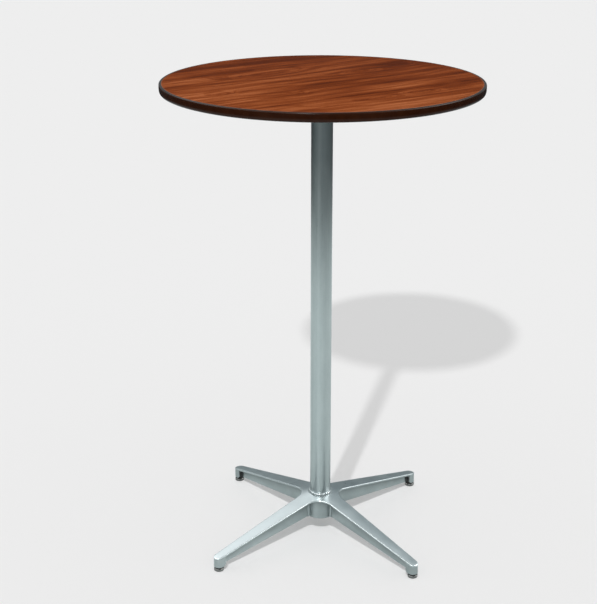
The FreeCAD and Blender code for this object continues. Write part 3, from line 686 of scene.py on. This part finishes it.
def cast_aluminium():
    """Vibration-finished casting: cloudy, grained and polished at its edges.

    Shade is painted below its arms and into the lip's marks, and a highlight onto its edges.
    """
    dark, pale = (0.435, 0.470, 0.475), (0.545, 0.580, 0.585)
    # The polished edges' pale colour is a painted highlight; the marks' near black is painted shade.
    polished_highlight, mark_shade_colour, polished_roughness = (0.78, 0.82, 0.82), (0.05, 0.055, 0.06), 0.13
    look = Finish("cast_aluminium", Metallic=1.0)
    cloud = look.even_noise(24.0, 5.0, 0.6)
    fine = look.even_noise(1100.0, 3.0, 0.6)
    nicks = look.drawn_noise((160, 900, 500), 2.0, turn=0.7)
    tone = look.math("MULTIPLY_ADD", cloud, 0.7, look.math("MULTIPLY", fine, 0.3))
    out = look.from_axis()
    place = look.split()
    below = look.math("SUBTRACT", look.math("MULTIPLY_ADD", out, -FALL, HUB_TOP), place["Z"])
    edge = polished_and_highlit_edges(look, out, below, place["Y"])
    mark_shade = lip_mark_shade(look, out, look.math("ARCTAN2", place["Y"], place["X"]))
    # Shade painted below the arms: under the flanges and on the posts.
    shade = painted_flange_shade(look, cloud, out, below)
    metal = look.mix(1.0, look.between(tone, dark, pale), shade, "MULTIPLY")
    # A highlight painted on the polished edges as a paler colour.
    metal = look.mix(edge, metal, polished_highlight)
    # Painted shade in the lip's staking marks.
    look.set("Base Color", look.mix(look.math("MULTIPLY", mark_shade, 0.85), metal, mark_shade_colour))
    look.set("Roughness", look.mix(edge, look.between(tone, 0.26, 0.36), (polished_roughness,) * 3))
    look.bump(look.math("MULTIPLY_ADD", nicks, 0.5, fine), 0.14, 0.0003)
    return look.material


def bright_metal(name, colour, roughness):
    """Plated metal, finely grained."""
    look = Finish(name, Metallic=1.0)
    fine = look.even_noise(600.0)
    dark = tuple(0.86 * shade for shade in colour)
    look.set("Base Color", look.ramp(fine, (0.35, dark), (0.65, colour)))
    look.set("Roughness", look.between(fine, roughness * 0.8, roughness * 1.25))
    look.bump(fine, 0.08, 0.0002)
    return look.material


def zinc_plate():
    return bright_metal("zinc_plate", (0.58, 0.60, 0.62), 0.30)


def nickel_plate():
    return bright_metal("nickel_plate", (0.20, 0.195, 0.19), 0.09)


def moulded_plastic(name, colour, roughness):
    """Plastic with the fine grain of its mould."""
    look = Finish(name, Specular_IOR_Level=0.5)
    fine = look.even_noise(1400.0, 2.0)
    pale = tuple(1.35 * shade for shade in colour)
    look.set("Base Color", look.between(look.even_noise(120.0), colour, pale))
    look.set("Roughness", look.between(fine, roughness * 0.85, roughness * 1.15))
    look.bump(fine, 0.2, 0.0002)
    return look.material


def black_plastic():
    return moulded_plastic("black_plastic", (0.010, 0.010, 0.010), 0.45)


def pad_plastic():
    return moulded_plastic("pad_plastic", (0.022, 0.020, 0.018), 0.5)


# ---------------------------------------------------------------- top


def make_laminate_sheet(finish):
    """The decorative sheet on the board."""
    section = [
        (0, SHEET_UNDER, 0),
        (SHEET_RADIUS, SHEET_UNDER, 0),
        (SHEET_RADIUS, TOP_HEIGHT, 0.0002),
        (0, TOP_HEIGHT, 0),
    ]
    how = {"stands_for": ("top_laminate",), "slot": "laminate"}
    return turned("laminate_sheet", section, finish, TOP_STEPS, **how)


def make_vinyl_edge(finish):
    """The edge moulding: round above, drawn in below, with its tongue in the board's groove."""
    section = [
        (SHEET_RADIUS, TOP_UNDER, 0.0003),
        (*EDGE_LOWER_CORNERS[0], 0.0012),
        (*EDGE_LOWER_CORNERS[1], 0.0012),
        (RIM_RADIUS, EDGE_SIDE_UNDER, 0.0014),
        (RIM_RADIUS, TOP_HEIGHT, 0.0030),
        (SHEET_RADIUS, TOP_HEIGHT, 0.0002),
        (SHEET_RADIUS, TONGUE_ROOT[1], 0),
        (TONGUE_RADIUS, TONGUE_TIP[1], 0),
        (TONGUE_RADIUS, TONGUE_TIP[0], 0),
        (SHEET_RADIUS, TONGUE_ROOT[0], 0),
    ]
    how = {"stands_for": ("edge_moulding",), "slot": "vinyl_edge"}
    return turned("vinyl_edge", section, finish, TOP_STEPS, **how)


def make_backer_disc(finish):
    """The balancing sheet under the board."""
    section = [
        (0, TOP_UNDER, 0),
        (SHEET_RADIUS, TOP_UNDER, 0),
        (SHEET_RADIUS, BACKER_TOP, 0),
        (0, BACKER_TOP, 0),
    ]
    how = {"stands_for": ("backer_sheet",), "slot": "backer"}
    return turned("backer_disc", section, finish, TOP_STEPS, **how)


def make_top():
    """The laminate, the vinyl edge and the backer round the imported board, which gets its finish."""
    made = [
        make_laminate_sheet(walnut_laminate()),
        make_vinyl_edge(brown_vinyl()),
        make_backer_disc(backer_paper()),
    ]
    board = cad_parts["tabletop_core"].data
    board.materials.clear()
    board.materials.append(raw_board())
    return made


def make_under_top(paint, zinc):
    """The plate, its screws, and the rod with its nuts and washers."""
    eased_copy("screwed_plate", "top_plate", paint, PLATE_EASING, "plate_paint")
    eased_copy("plate_screws", "top_plate_screws", zinc, SCREW_EASING, "zinc_steel")
    for node in ("tie_rod", "rod_jam_nut", "rod_washer", "rod_lock_washer", "rod_nut"):
        eased_copy(node + "_finished", node, zinc, ROD_EASING, "zinc_steel")


# ---------------------------------------------------------------- column


def make_column(finish):
    """The tube, from the socket in the base to the top's plate."""
    section = [
        (COLUMN_RADIUS - COLUMN_WALL, SOCKET_FLOOR, 0),
        (COLUMN_RADIUS, SOCKET_FLOOR, 0.0004),
        (COLUMN_RADIUS, COLUMN_TOP, 0.0004),
        (COLUMN_RADIUS - COLUMN_WALL, COLUMN_TOP, 0),
    ]
    how = {"stands_for": ("column_tube",), "slot": "column_finish"}
    return turned("column", section, finish, COLUMN_STEPS, **how)


# ---------------------------------------------------------------- base casting


def cone(x, y):
    """Height of the arms' upper surface over a point of the floor."""
    return HUB_TOP - FALL * math.hypot(x, y)


def on_arm(angle, along, aside, height):
    """A point in the table's frame, from its place along an arm and to the arm's left."""
    cosine, sine = math.cos(angle), math.sin(angle)
    return Vector((along * cosine - aside * sine, along * sine + aside * cosine, height))


def notch_edge(share):
    """The notch's part of an arm's edge; its middle points start along the hidden inner edge."""
    angle = math.radians(225) + share * (math.radians(45) - TAPER)
    outward = Vector((-math.cos(angle), -math.sin(angle)))
    point = Vector((NOTCH_CENTRE, NOTCH_CENTRE)) - NOTCH_RADIUS * outward
    corner, turn = Vector((INNER_CORNER, INNER_CORNER)), Vector((INNER_EDGE, 0.0))
    if share < INNER_SHARE:
        return point, outward, corner.lerp(turn, share / INNER_SHARE)
    return point, outward, turn.lerp(Vector((point.x, 0.0)), smooth(INNER_SHARE, 1.0, share))


def arm_edge(share):
    """A point of one side's outline, its outward direction, and the middle point facing it.

    The share runs from the notch between two arms, along the arm, to the middle of its tip.
    """
    if share <= NOTCH_SHARE:
        return notch_edge(share / NOTCH_SHARE)
    tip = Vector((FOOT_RADIUS, 0))
    if share <= SIDE_SHARE:
        outward = Vector((math.sin(TAPER), math.cos(TAPER)))
        start = Vector((NOTCH_CENTRE, NOTCH_CENTRE)) - NOTCH_RADIUS * outward
        end = tip + TIP_RADIUS * outward
        point = start.lerp(end, (share - NOTCH_SHARE) / (SIDE_SHARE - NOTCH_SHARE))
        return point, outward, Vector((min(point.x, FOOT_RADIUS), 0.0))
    angle = (math.radians(90) - TAPER) * (1 - (share - SIDE_SHARE) / (1 - SIDE_SHARE))
    outward = Vector((math.cos(angle), math.sin(angle)))
    return tip + TIP_RADIUS * outward, outward, tip


def flange_rows():
    """Rows across the flange: how far out, how far in from the edge, how deep, and if on top."""
    top_steps, upper_steps, lower_steps, under_steps = 9, 5, 3, 6
    rows = [(step / top_steps, UPPER_ROUND, 0.0, True) for step in range(top_steps + 1)]
    for step in range(1, upper_steps + 1):
        angle = math.radians(90 * step / upper_steps)
        inset = UPPER_ROUND * (1 - math.sin(angle))
        rows.append((1, inset, UPPER_ROUND * (1 - math.cos(angle)), False))
    for step in range(lower_steps + 1):
        angle = math.radians(90 * step / lower_steps)
        inset = DRAFT + LOWER_ROUND * (1 - math.cos(angle))
        rows.append((1, inset, FLANGE_THICKNESS - LOWER_ROUND * (1 - math.sin(angle)), False))
    for step in range(1, under_steps + 1):
        rows.append((1 - step / under_steps, LOWER_ROUND + DRAFT, FLANGE_THICKNESS, False))
    return rows


def add_flange_half(bm, angle, side):
    """Half of one arm's flange, wrapped from its middle over the edge to the underside."""
    steps_along = 96
    rows = flange_rows()
    last = len(rows) - 1
    grid = bmesh.ops.create_grid(bm, x_segments=steps_along, y_segments=last, size=1)["verts"]
    for vert in grid:
        out_share, inset, depth, on_top = rows[round((vert.co.y + 1) / 2 * last)]
        point, outward, middle = arm_edge((vert.co.x + 1) / 2)
        place = middle.lerp(point - outward * inset, out_share)
        height = cone(place.x, place.y) - depth
        if on_top:
            height += CROWN * (1 - out_share**2) * smooth(*CROWN_RISES, middle.x)
        vert.co = on_arm(angle, place.x, place.y * side, height)


def web_stations():
    """Places along a web and the half thickness there: a rounded rib at the hub, then even."""
    rib_from, rib_to, rib_steps, even_steps = -75, 90, 10, 40
    stations = [WEB_ROOT]
    for step in range(rib_steps + 1):
        turn = math.radians(rib_from + (rib_to - rib_from) * step / rib_steps)
        bulge = RIB_BULGE * math.cos(turn) ** RIB_FULLNESS
        stations.append((RIB_CENTRE + RIB_HALF_LENGTH * math.sin(turn), WEB_HALF + bulge))
    start = stations[-1][0] + RIB_TO_EVEN
    step_length = (WEB_EVEN_END - start) / even_steps
    stations += [(start + step_length * step, WEB_HALF) for step in range(even_steps + 1)]
    return stations + list(WEB_ROUND_END)


def web_profile(along, thick):
    """Half a web's section there, from the middle of its foot, up its side, into the flange."""
    share = (along - WEB_START) / (WEB_END - WEB_START)
    bottom = WEB_UNDER_HUB - (WEB_UNDER_HUB - WEB_UNDER_TIP) * share
    top = cone(along, 0) - FLANGE_THICKNESS
    profile = [(0.0, bottom)]
    for degrees in (90, 60, 30, 0):
        turn = math.radians(degrees)
        aside = thick - WEB_LEAN - WEB_FOOT * (1 - math.cos(turn))
        profile.append((aside, bottom + WEB_FOOT * (1 - math.sin(turn))))
    for rise in (1 / 3, 2 / 3):
        height = bottom + WEB_FOOT + (top - WEB_FILLET - bottom - WEB_FOOT) * rise
        profile.append((thick - WEB_LEAN * (1 - rise), height))
    for degrees in range(0, 91, 18):
        turn = math.radians(degrees)
        aside = thick + WEB_FILLET * (1 - math.cos(turn))
        profile.append((aside, top - WEB_FILLET * (1 - math.sin(turn))))
    for share in (2 / 3, 1 / 3, 0.0):
        profile.append(((thick + WEB_FILLET) * share, top + WEB_OVERLAP))
    return profile


def add_web(bm, angle):
    """The upright web under an arm, filleted into the flange and rounded along its foot."""
    stations = web_stations()
    profiles = [web_profile(along, thick) for along, thick in stations]
    last, half = len(stations) - 1, len(profiles[0]) - 1
    grid = bmesh.ops.create_grid(bm, x_segments=last, y_segments=2 * half, size=1)["verts"]
    for vert in grid:
        station = round((vert.co.x + 1) / 2 * last)
        aside, height = profiles[station][round(abs(vert.co.y) * half)]
        aside = math.copysign(aside, vert.co.y)
        vert.co = on_arm(angle, stations[station][0], aside, height)
    bmesh.ops.remove_doubles(bm, verts=grid, dist=TOUCHING)
    web = [v for v in grid if v.is_valid]
    ends = {e for v in web for e in v.link_edges if e.is_boundary}
    bmesh.ops.holes_fill(bm, edges=list(ends), sides=0)


def groove_depth(degrees):
    """Depth of the two grooves beside each arm in the boss."""
    from_arm = degrees % 90 - 45
    off = abs(abs(from_arm) - GROOVE_FROM_ARM)
    return GROOVE_DEPTH * (1 - smooth(*GROOVE_HALF_WIDTHS, off))


def mark_depth(degrees):
    """Depth of the staking marks in the lip, a little different from mark to mark."""
    mark = round(degrees / MARK_PITCH)
    off = abs(degrees - MARK_PITCH * mark)
    depth = MARK_DEPTH + MARK_DEPTH_SWING * math.sin(mark * MARK_SWING_STEP)
    return depth * (1 - smooth(*MARK_HALF_WIDTHS, off))


def add_hub(bm):
    """The boss under the flange and the lip staked round the column, with their marks."""
    section = [
        (RECESS_RADIUS, HUB_UNDER, 0.0005),
        (HUB_RADIUS, HUB_UNDER, 0.0015),
        (HUB_RADIUS, BOSS_GROOVED_TO, 0),
        (HUB_RADIUS, BOSS_TOP, 0),
        (LIP_RADIUS, BOSS_TOP, 0),
        (LIP_RADIUS, LIP_CORNER, 0.0012),
        (BORE_RADIUS + LIP_CREST, LIP_TOP, 0.0012),
        (BORE_RADIUS, LIP_TOP, 0.0004),
        (BORE_RADIUS, SOCKET_FLOOR, 0),
        (ROD_HOLE_RADIUS, SOCKET_FLOOR, 0),
        (ROD_HOLE_RADIUS, RECESS_ROOF, 0),
        (RECESS_RADIUS, RECESS_ROOF, 0),
    ]
    boss_side = (LIP_RADIUS + HUB_RADIUS) / 2
    for vert in add_turned(bm, section, HUB_STEPS):
        radius = math.hypot(vert.co.x, vert.co.y)
        degrees = math.degrees(math.atan2(vert.co.y, vert.co.x))
        inward = 0.0
        if radius > boss_side and vert.co.z < (BOSS_GROOVED_TO + BOSS_TOP) / 2:
            inward = groove_depth(degrees)
        elif radius > LIP_SIDE and vert.co.z > (BOSS_TOP + LIP_FOOT) / 2:
            inward = mark_depth(degrees)
            if vert.co.z > MARK_DROPS_ABOVE:
                vert.co.z -= MARK_DROP * inward
        vert.co.x *= (radius - inward) / radius
        vert.co.y *= (radius - inward) / radius


def add_wall(bm, plan, under, over, angle):
    """An upright prism on a plan drawn about a foot's axis, up to heights that over gives."""
    base = [bm.verts.new(on_arm(angle, FOOT_RADIUS + x, y, under)) for x, y in plan]
    face = bm.faces.new(base)
    lifted = bmesh.ops.extrude_face_region(bm, geom=[face])["geom"]
    for vert in lifted:
        if isinstance(vert, bmesh.types.BMVert):
            vert.co.z = over(vert.co.x, vert.co.y)
    return base


def add_post(bm, angle):
    """The hollow post at an arm's end: a round back, thin cheeks and a roof over the insert."""
    steps = 28
    back = [math.radians(-90 + 180 * step / steps) for step in range(steps + 1)]
    round_back = [(TIP_RADIUS * math.cos(turn), TIP_RADIUS * math.sin(turn)) for turn in back]
    outside = [(-POST_CHEEK, -TIP_RADIUS), *round_back, (-POST_CHEEK, TIP_RADIUS)]
    round_bore = [(POST_BORE * math.cos(turn), POST_GAP * math.sin(turn)) for turn in back[::-1]]
    inside = [(-POST_CHEEK, POST_GAP), *round_bore, (-POST_CHEEK, -POST_GAP)]
    base = add_wall(bm, outside + inside, POST_UNDER, lambda x, y: POST_ROOF, angle)
    add_wall(bm, outside, POST_ROOF, lambda x, y: cone(x, y) - POST_SINK, angle)
    cosine, sine = math.cos(angle), math.sin(angle)
    near = 1e-5

    def at_cheek(vert):
        along = vert.co.x * cosine + vert.co.y * sine
        return vert.co.z < POST_UNDER + near and along < FOOT_RADIUS - POST_CHEEK + near

    corners = {e for v in base for e in v.link_edges if all(at_cheek(end) for end in e.verts)}
    soften(bm, corners, CHEEK_ROUND, segments=8)


def make_base(finish):
    """The whole casting as one piece."""
    bm = bmesh.new()
    for angle in ARM_ANGLES:
        for side in (1, -1):
            add_flange_half(bm, angle, side)
    bmesh.ops.remove_doubles(bm, verts=bm.verts, dist=SEAM_TOUCHING)
    bmesh.ops.dissolve_degenerate(bm, dist=TOUCHING, edges=bm.edges)
    inner = [e for e in bm.edges if e.is_boundary]
    bmesh.ops.bridge_loops(bm, edges=inner)
    for angle in ARM_ANGLES:
        add_web(bm, angle)
        add_post(bm, angle)
    add_hub(bm)
    bmesh.ops.recalc_face_normals(bm, faces=bm.faces)
    how = {"stands_for": ("base_casting",), "slot": "cast_aluminium"}
    return finished("cast_base", bm, finish, sharp=38.0, **how)


# ---------------------------------------------------------------- feet


def foot_centre(number):
    angle = ARM_ANGLES[number - 1]
    return FOOT_RADIUS * math.cos(angle), FOOT_RADIUS * math.sin(angle)


def foot_piece(kind, number, section, finish, body, slot, steps=FOOT_STEPS):
    """A turned piece of one levelling foot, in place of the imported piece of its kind."""
    name = "%s_%d" % (kind, number)
    how = {"body": body, "stands_for": ("glide_" + name,), "slot": slot}
    return turned("foot_" + name, section, finish, steps, foot_centre(number), **how)


def make_insert(number, plastic):
    """The threaded bush in the hollow post."""
    section = [
        (INSERT_BORE, POST_UNDER, 0.0003),
        (INSERT_RADIUS, POST_UNDER, 0.0004),
        (INSERT_RADIUS, INSERT_TOP, 0.0004),
        (INSERT_BORE, INSERT_TOP, 0),
    ]
    return foot_piece("insert", number, section, plastic, "table", "black_plastic")


def make_cup(number, nickel):
    """The bright cup over the pad and the stud's head."""
    section = [
        (PAD_RADIUS, CUP_UNDER, 0),
        (CUP_RADIUS, CUP_UNDER, 0.0003),
        (CUP_RADIUS, CUP_TOP, 0.0019),
        (CUP_HOLE, CUP_TOP, 0.0002),
        (CUP_HOLE, CUP_ROOF, 0),
        (PAD_RADIUS, CUP_ROOF, 0.0010),
    ]
    return foot_piece("cup", number, section, nickel, "foot_%d" % number, "nickel")


def make_pad(number, plastic):
    """The hard pad that stands on the floor."""
    section = [
        (0, 0, 0),
        (PAD_RADIUS, 0, 0.0009),
        (PAD_RADIUS, PAD_TOP, 0.0002),
        (0, PAD_TOP, 0),
    ]
    return foot_piece("pad", number, section, plastic, "foot_%d" % number, "pad_plastic")


def make_stud(number, zinc):
    """The stud: its head in the cup, and thread ridges as rings."""
    section = [
        (0, STUD_HEAD_UNDER, 0),
        (STUD_HEAD_RADIUS, STUD_HEAD_UNDER, 0),
        (STUD_HEAD_RADIUS, STUD_HEAD_TOP, 0),
        (STUD_RADIUS, STUD_HEAD_TOP, 0),
    ]
    for turn in range(THREAD_TURNS):
        low = THREAD_START + turn * THREAD_PITCH
        section += [(STUD_RADIUS, low, 0), (THREAD_ROOT, low + THREAD_PITCH / 2, 0)]
    section += [
        (STUD_RADIUS, THREAD_START + THREAD_TURNS * THREAD_PITCH, 0),
        (STUD_END_RADIUS, STUD_TOP, 0),
        (0, STUD_TOP, 0),
    ]
    body = "stem_%d" % number
    return foot_piece("stem", number, section, zinc, body, "zinc_steel", STUD_STEPS)


def make_collar(number, plastic):
    """The collar on the stud, ribbed round its rim for the fingers."""
    bm = bmesh.new()
    section = [
        (STUD_RADIUS, COLLAR_UNDER, 0),
        (COLLAR_RADIUS, COLLAR_UNDER, 0.0004),
        (COLLAR_RADIUS, COLLAR_TOP, 0.0004),
        (STUD_RADIUS, COLLAR_TOP, 0),
    ]
    centre = foot_centre(number)
    for vert in add_turned(bm, section, COLLAR_STEPS, centre):
        x, y = vert.co.x - centre[0], vert.co.y - centre[1]
        radius = math.hypot(x, y)
        if radius > (STUD_RADIUS + COLLAR_RADIUS) / 2:
            off = abs(math.degrees(math.atan2(y, x)) % KNURL_PITCH - KNURL_PITCH / 2)
            share = 1 - KNURL_DEPTH * (1 - smooth(*KNURL_HALF_WIDTHS, off)) / radius
            vert.co.x = centre[0] + x * share
            vert.co.y = centre[1] + y * share
    bmesh.ops.recalc_face_normals(bm, faces=bm.faces)
    name = "collar_%d" % number
    how = {"body": "stem_%d" % number, "stands_for": ("glide_" + name,), "slot": "black_plastic"}
    return finished("foot_" + name, bm, plastic, **how)


def make_feet(zinc):
    """Four levelling feet, each of a bush, a cup, a pad, a stud and a collar."""
    black, nickel, pad = black_plastic(), nickel_plate(), pad_plastic()
    made = []
    for number in range(1, len(ARM_ANGLES) + 1):
        made += [
            make_insert(number, black),
            make_cup(number, nickel),
            make_pad(number, pad),
            make_stud(number, zinc),
            make_collar(number, black),
        ]
    return made


# ---------------------------------------------------------------- studio


def make_camera():
    """The camera, at eye height right of the front, its axis above the middle of the picture."""
    turn = Matrix.Rotation(CAMERA_TURN, 3, "Z")
    pitch, yaw, roll = CAMERA_TILT
    ahead = Vector(
        (math.sin(yaw) * math.cos(pitch), math.cos(yaw) * math.cos(pitch), -math.sin(pitch))
    )
    level = Vector((math.cos(yaw), -math.sin(yaw), 0))
    fall = ahead.cross(level)
    right = math.cos(roll) * level - math.sin(roll) * fall
    down = math.sin(roll) * level + math.cos(roll) * fall
    axes = Matrix((turn @ right, turn @ -down, turn @ -ahead)).transposed()
    data = bpy.data.cameras.new("camera")
    data.sensor_width = SENSOR_WIDTH
    data.lens = FOCAL_PIXELS / PICTURE_SIDE * SENSOR_WIDTH
    data.shift_y = (AXIS_PIXEL - PICTURE_SIDE / 2) / PICTURE_SIDE
    data.clip_end = SEEN_AS_FAR_AS
    camera = bpy.data.objects.new("camera", data)
    place = turn @ Vector((0, -CAMERA_DISTANCE, CAMERA_HEIGHT))
    camera.matrix_world = Matrix.Translation(place) @ axes.to_4x4()
    bpy.context.scene.collection.objects.link(camera)
    bpy.context.scene.camera = camera


def make_sun(name, toward, share, spread, shading_pieces, in_gloss):
    """A far lamp that gives a share of the floor's light, and is shaded by these pieces alone."""
    direction = Vector(toward).normalized()
    data = bpy.data.lights.new(name, "SUN")
    data.energy = share * math.pi / -direction.z
    data.angle = math.radians(spread)
    lamp = bpy.data.objects.new(name, data)
    lamp.rotation_mode = "QUATERNION"
    lamp.rotation_quaternion = direction.to_track_quat("-Z", "Y")
    lamp.visible_glossy = in_gloss
    shading = bpy.data.collections.new(name + "_shading")
    for piece in shading_pieces:
        shading.objects.link(piece)
    lamp.light_linking.blocker_collection = shading
    bpy.context.scene.collection.objects.link(lamp)


def floor_in_metal(paper):
    """The floor's colour in polished metal: dim far away, and brighter on the lit side."""
    away = paper.math("MULTIPLY", paper.from_axis(), 1 / FLOOR_REACH)
    stops = [
        (place, tuple(dim + (pale - dim) * share for pale, dim in zip(FLOOR_PALE, FLOOR_DIM)))
        for place, share in FLOOR_SHARES
    ]
    seen = paper.ramp(away, *stops)
    unit = paper.vector("NORMALIZE", paper.flat()).outputs[0]
    front = paper.vector("DOT_PRODUCT", unit, LIT_SIDE).outputs["Value"]
    gain = paper.add(
        "ShaderNodeMapRange",
        {"interpolation_type": "SMOOTHSTEP"},
        i0=front,
        i1=LIT_FROM,
        i2=LIT_FULL,
        i3=UNLIT_GAIN,
        i4=LIT_GAIN,
    ).outputs[0]
    settings = {"operation": "SCALE"}
    seen = paper.add("ShaderNodeVectorMath", settings, i0=seen, Scale=gain).outputs[0]
    return paper.vector("ADD", seen, paper.ramp(front, *LIT_STRIP)).outputs[0]


def make_floor():
    """A pale floor without end that keeps the shadows; polished metal sees it by other colours."""
    bm = bmesh.new()
    bmesh.ops.create_grid(bm, x_segments=1, y_segments=1, size=FLOOR_HALF)
    mesh = bpy.data.meshes.new("studio_floor")
    bm.to_mesh(mesh)
    bm.free()
    floor = bpy.data.objects.new("studio_floor", mesh)
    bpy.context.scene.collection.objects.link(floor)
    paper = Finish("studio_paper", Roughness=0.9, Specular_IOR_Level=0.0)
    path = paper.add("ShaderNodeLightPath").outputs
    seen = floor_in_metal(paper)
    paper.set("Base Color", paper.mix(path["Is Glossy Ray"], (PAPER,) * 3, seen))
    mesh.materials.append(paper.material)


def sky_in_metal(tree):
    """The sky in polished metal: dark low down, paler high up, and with the panels in it."""

    def rise(value, low, high, bottom, top):
        settings = {"interpolation_type": "SMOOTHSTEP"}
        numbers = {"i1": low, "i2": high, "i3": bottom, "i4": top}
        return add_node(tree, "ShaderNodeMapRange", settings, i0=value, **numbers).outputs[0]

    def vector(operation, **inputs):
        return add_node(tree, "ShaderNodeVectorMath", {"operation": operation}, **inputs).outputs

    where = add_node(tree, "ShaderNodeTexCoord").outputs["Generated"]
    height = add_node(tree, "ShaderNodeSeparateXYZ", i0=where).outputs["Z"]
    low, high = (math.sin(math.radians(elevation)) for elevation, _ in (SKY_LOW, SKY_HIGH))
    strength = rise(height, low, high, SKY_LOW[1], SKY_HIGH[1])
    seen = vector("SCALE", i0=SKY_TINT, i3=strength)[0]
    for direction, half, strength in PANELS:
        near = vector("DOT_PRODUCT", i0=where, i1=Vector(direction).normalized())["Value"]
        outer = math.cos(math.radians(half * (1 + PANEL_EDGE)))
        inner = math.cos(math.radians(half * (1 - PANEL_EDGE)))
        seen = vector("ADD", i0=seen, i1=rise(near, outer, inner, 0.0, strength))[0]
    return seen


def make_sky():
    """An even sky that the camera sees in the paper's colour, and polished metal in its own."""
    world = bpy.data.worlds.new("studio_sky")
    world.use_nodes = True
    bpy.context.scene.world = world
    tree = world.node_tree
    path = add_node(tree, "ShaderNodeLightPath").outputs
    even, pale = (SKY_SHARE,) * 3, (PAPER,) * 3

    def switch(ray, otherwise, seen):
        settings = {"data_type": "VECTOR"}
        return add_node(tree, "ShaderNodeMix", settings, i0=path[ray], i4=otherwise, i5=seen).outputs[1]

    shown = switch("Is Camera Ray", switch("Is Glossy Ray", even, sky_in_metal(tree)), pale)
    tree.links.new(shown, tree.nodes["Background"].inputs["Color"])


def make_studio(upper_pieces, base_pieces):
    """The floor, the sky, a key lamp that the top shades and a high lamp that the base shades."""
    make_floor()
    make_sky()
    make_sun("key_lamp", KEY_TOWARD, KEY_SHARE, KEY_SPREAD, upper_pieces, True)
    make_sun("high_lamp", HIGH_TOWARD, HIGH_SHARE, HIGH_SPREAD, base_pieces, False)
    bpy.context.scene.view_settings.view_transform = "Standard"


make_camera()
upper_pieces = make_top()
zinc = zinc_plate()
make_under_top(plate_paint(), zinc)
upper_pieces.append(make_column(satin_column()))
base_pieces = [make_base(cast_aluminium())]
base_pieces += make_feet(zinc)
make_studio(upper_pieces, base_pieces)
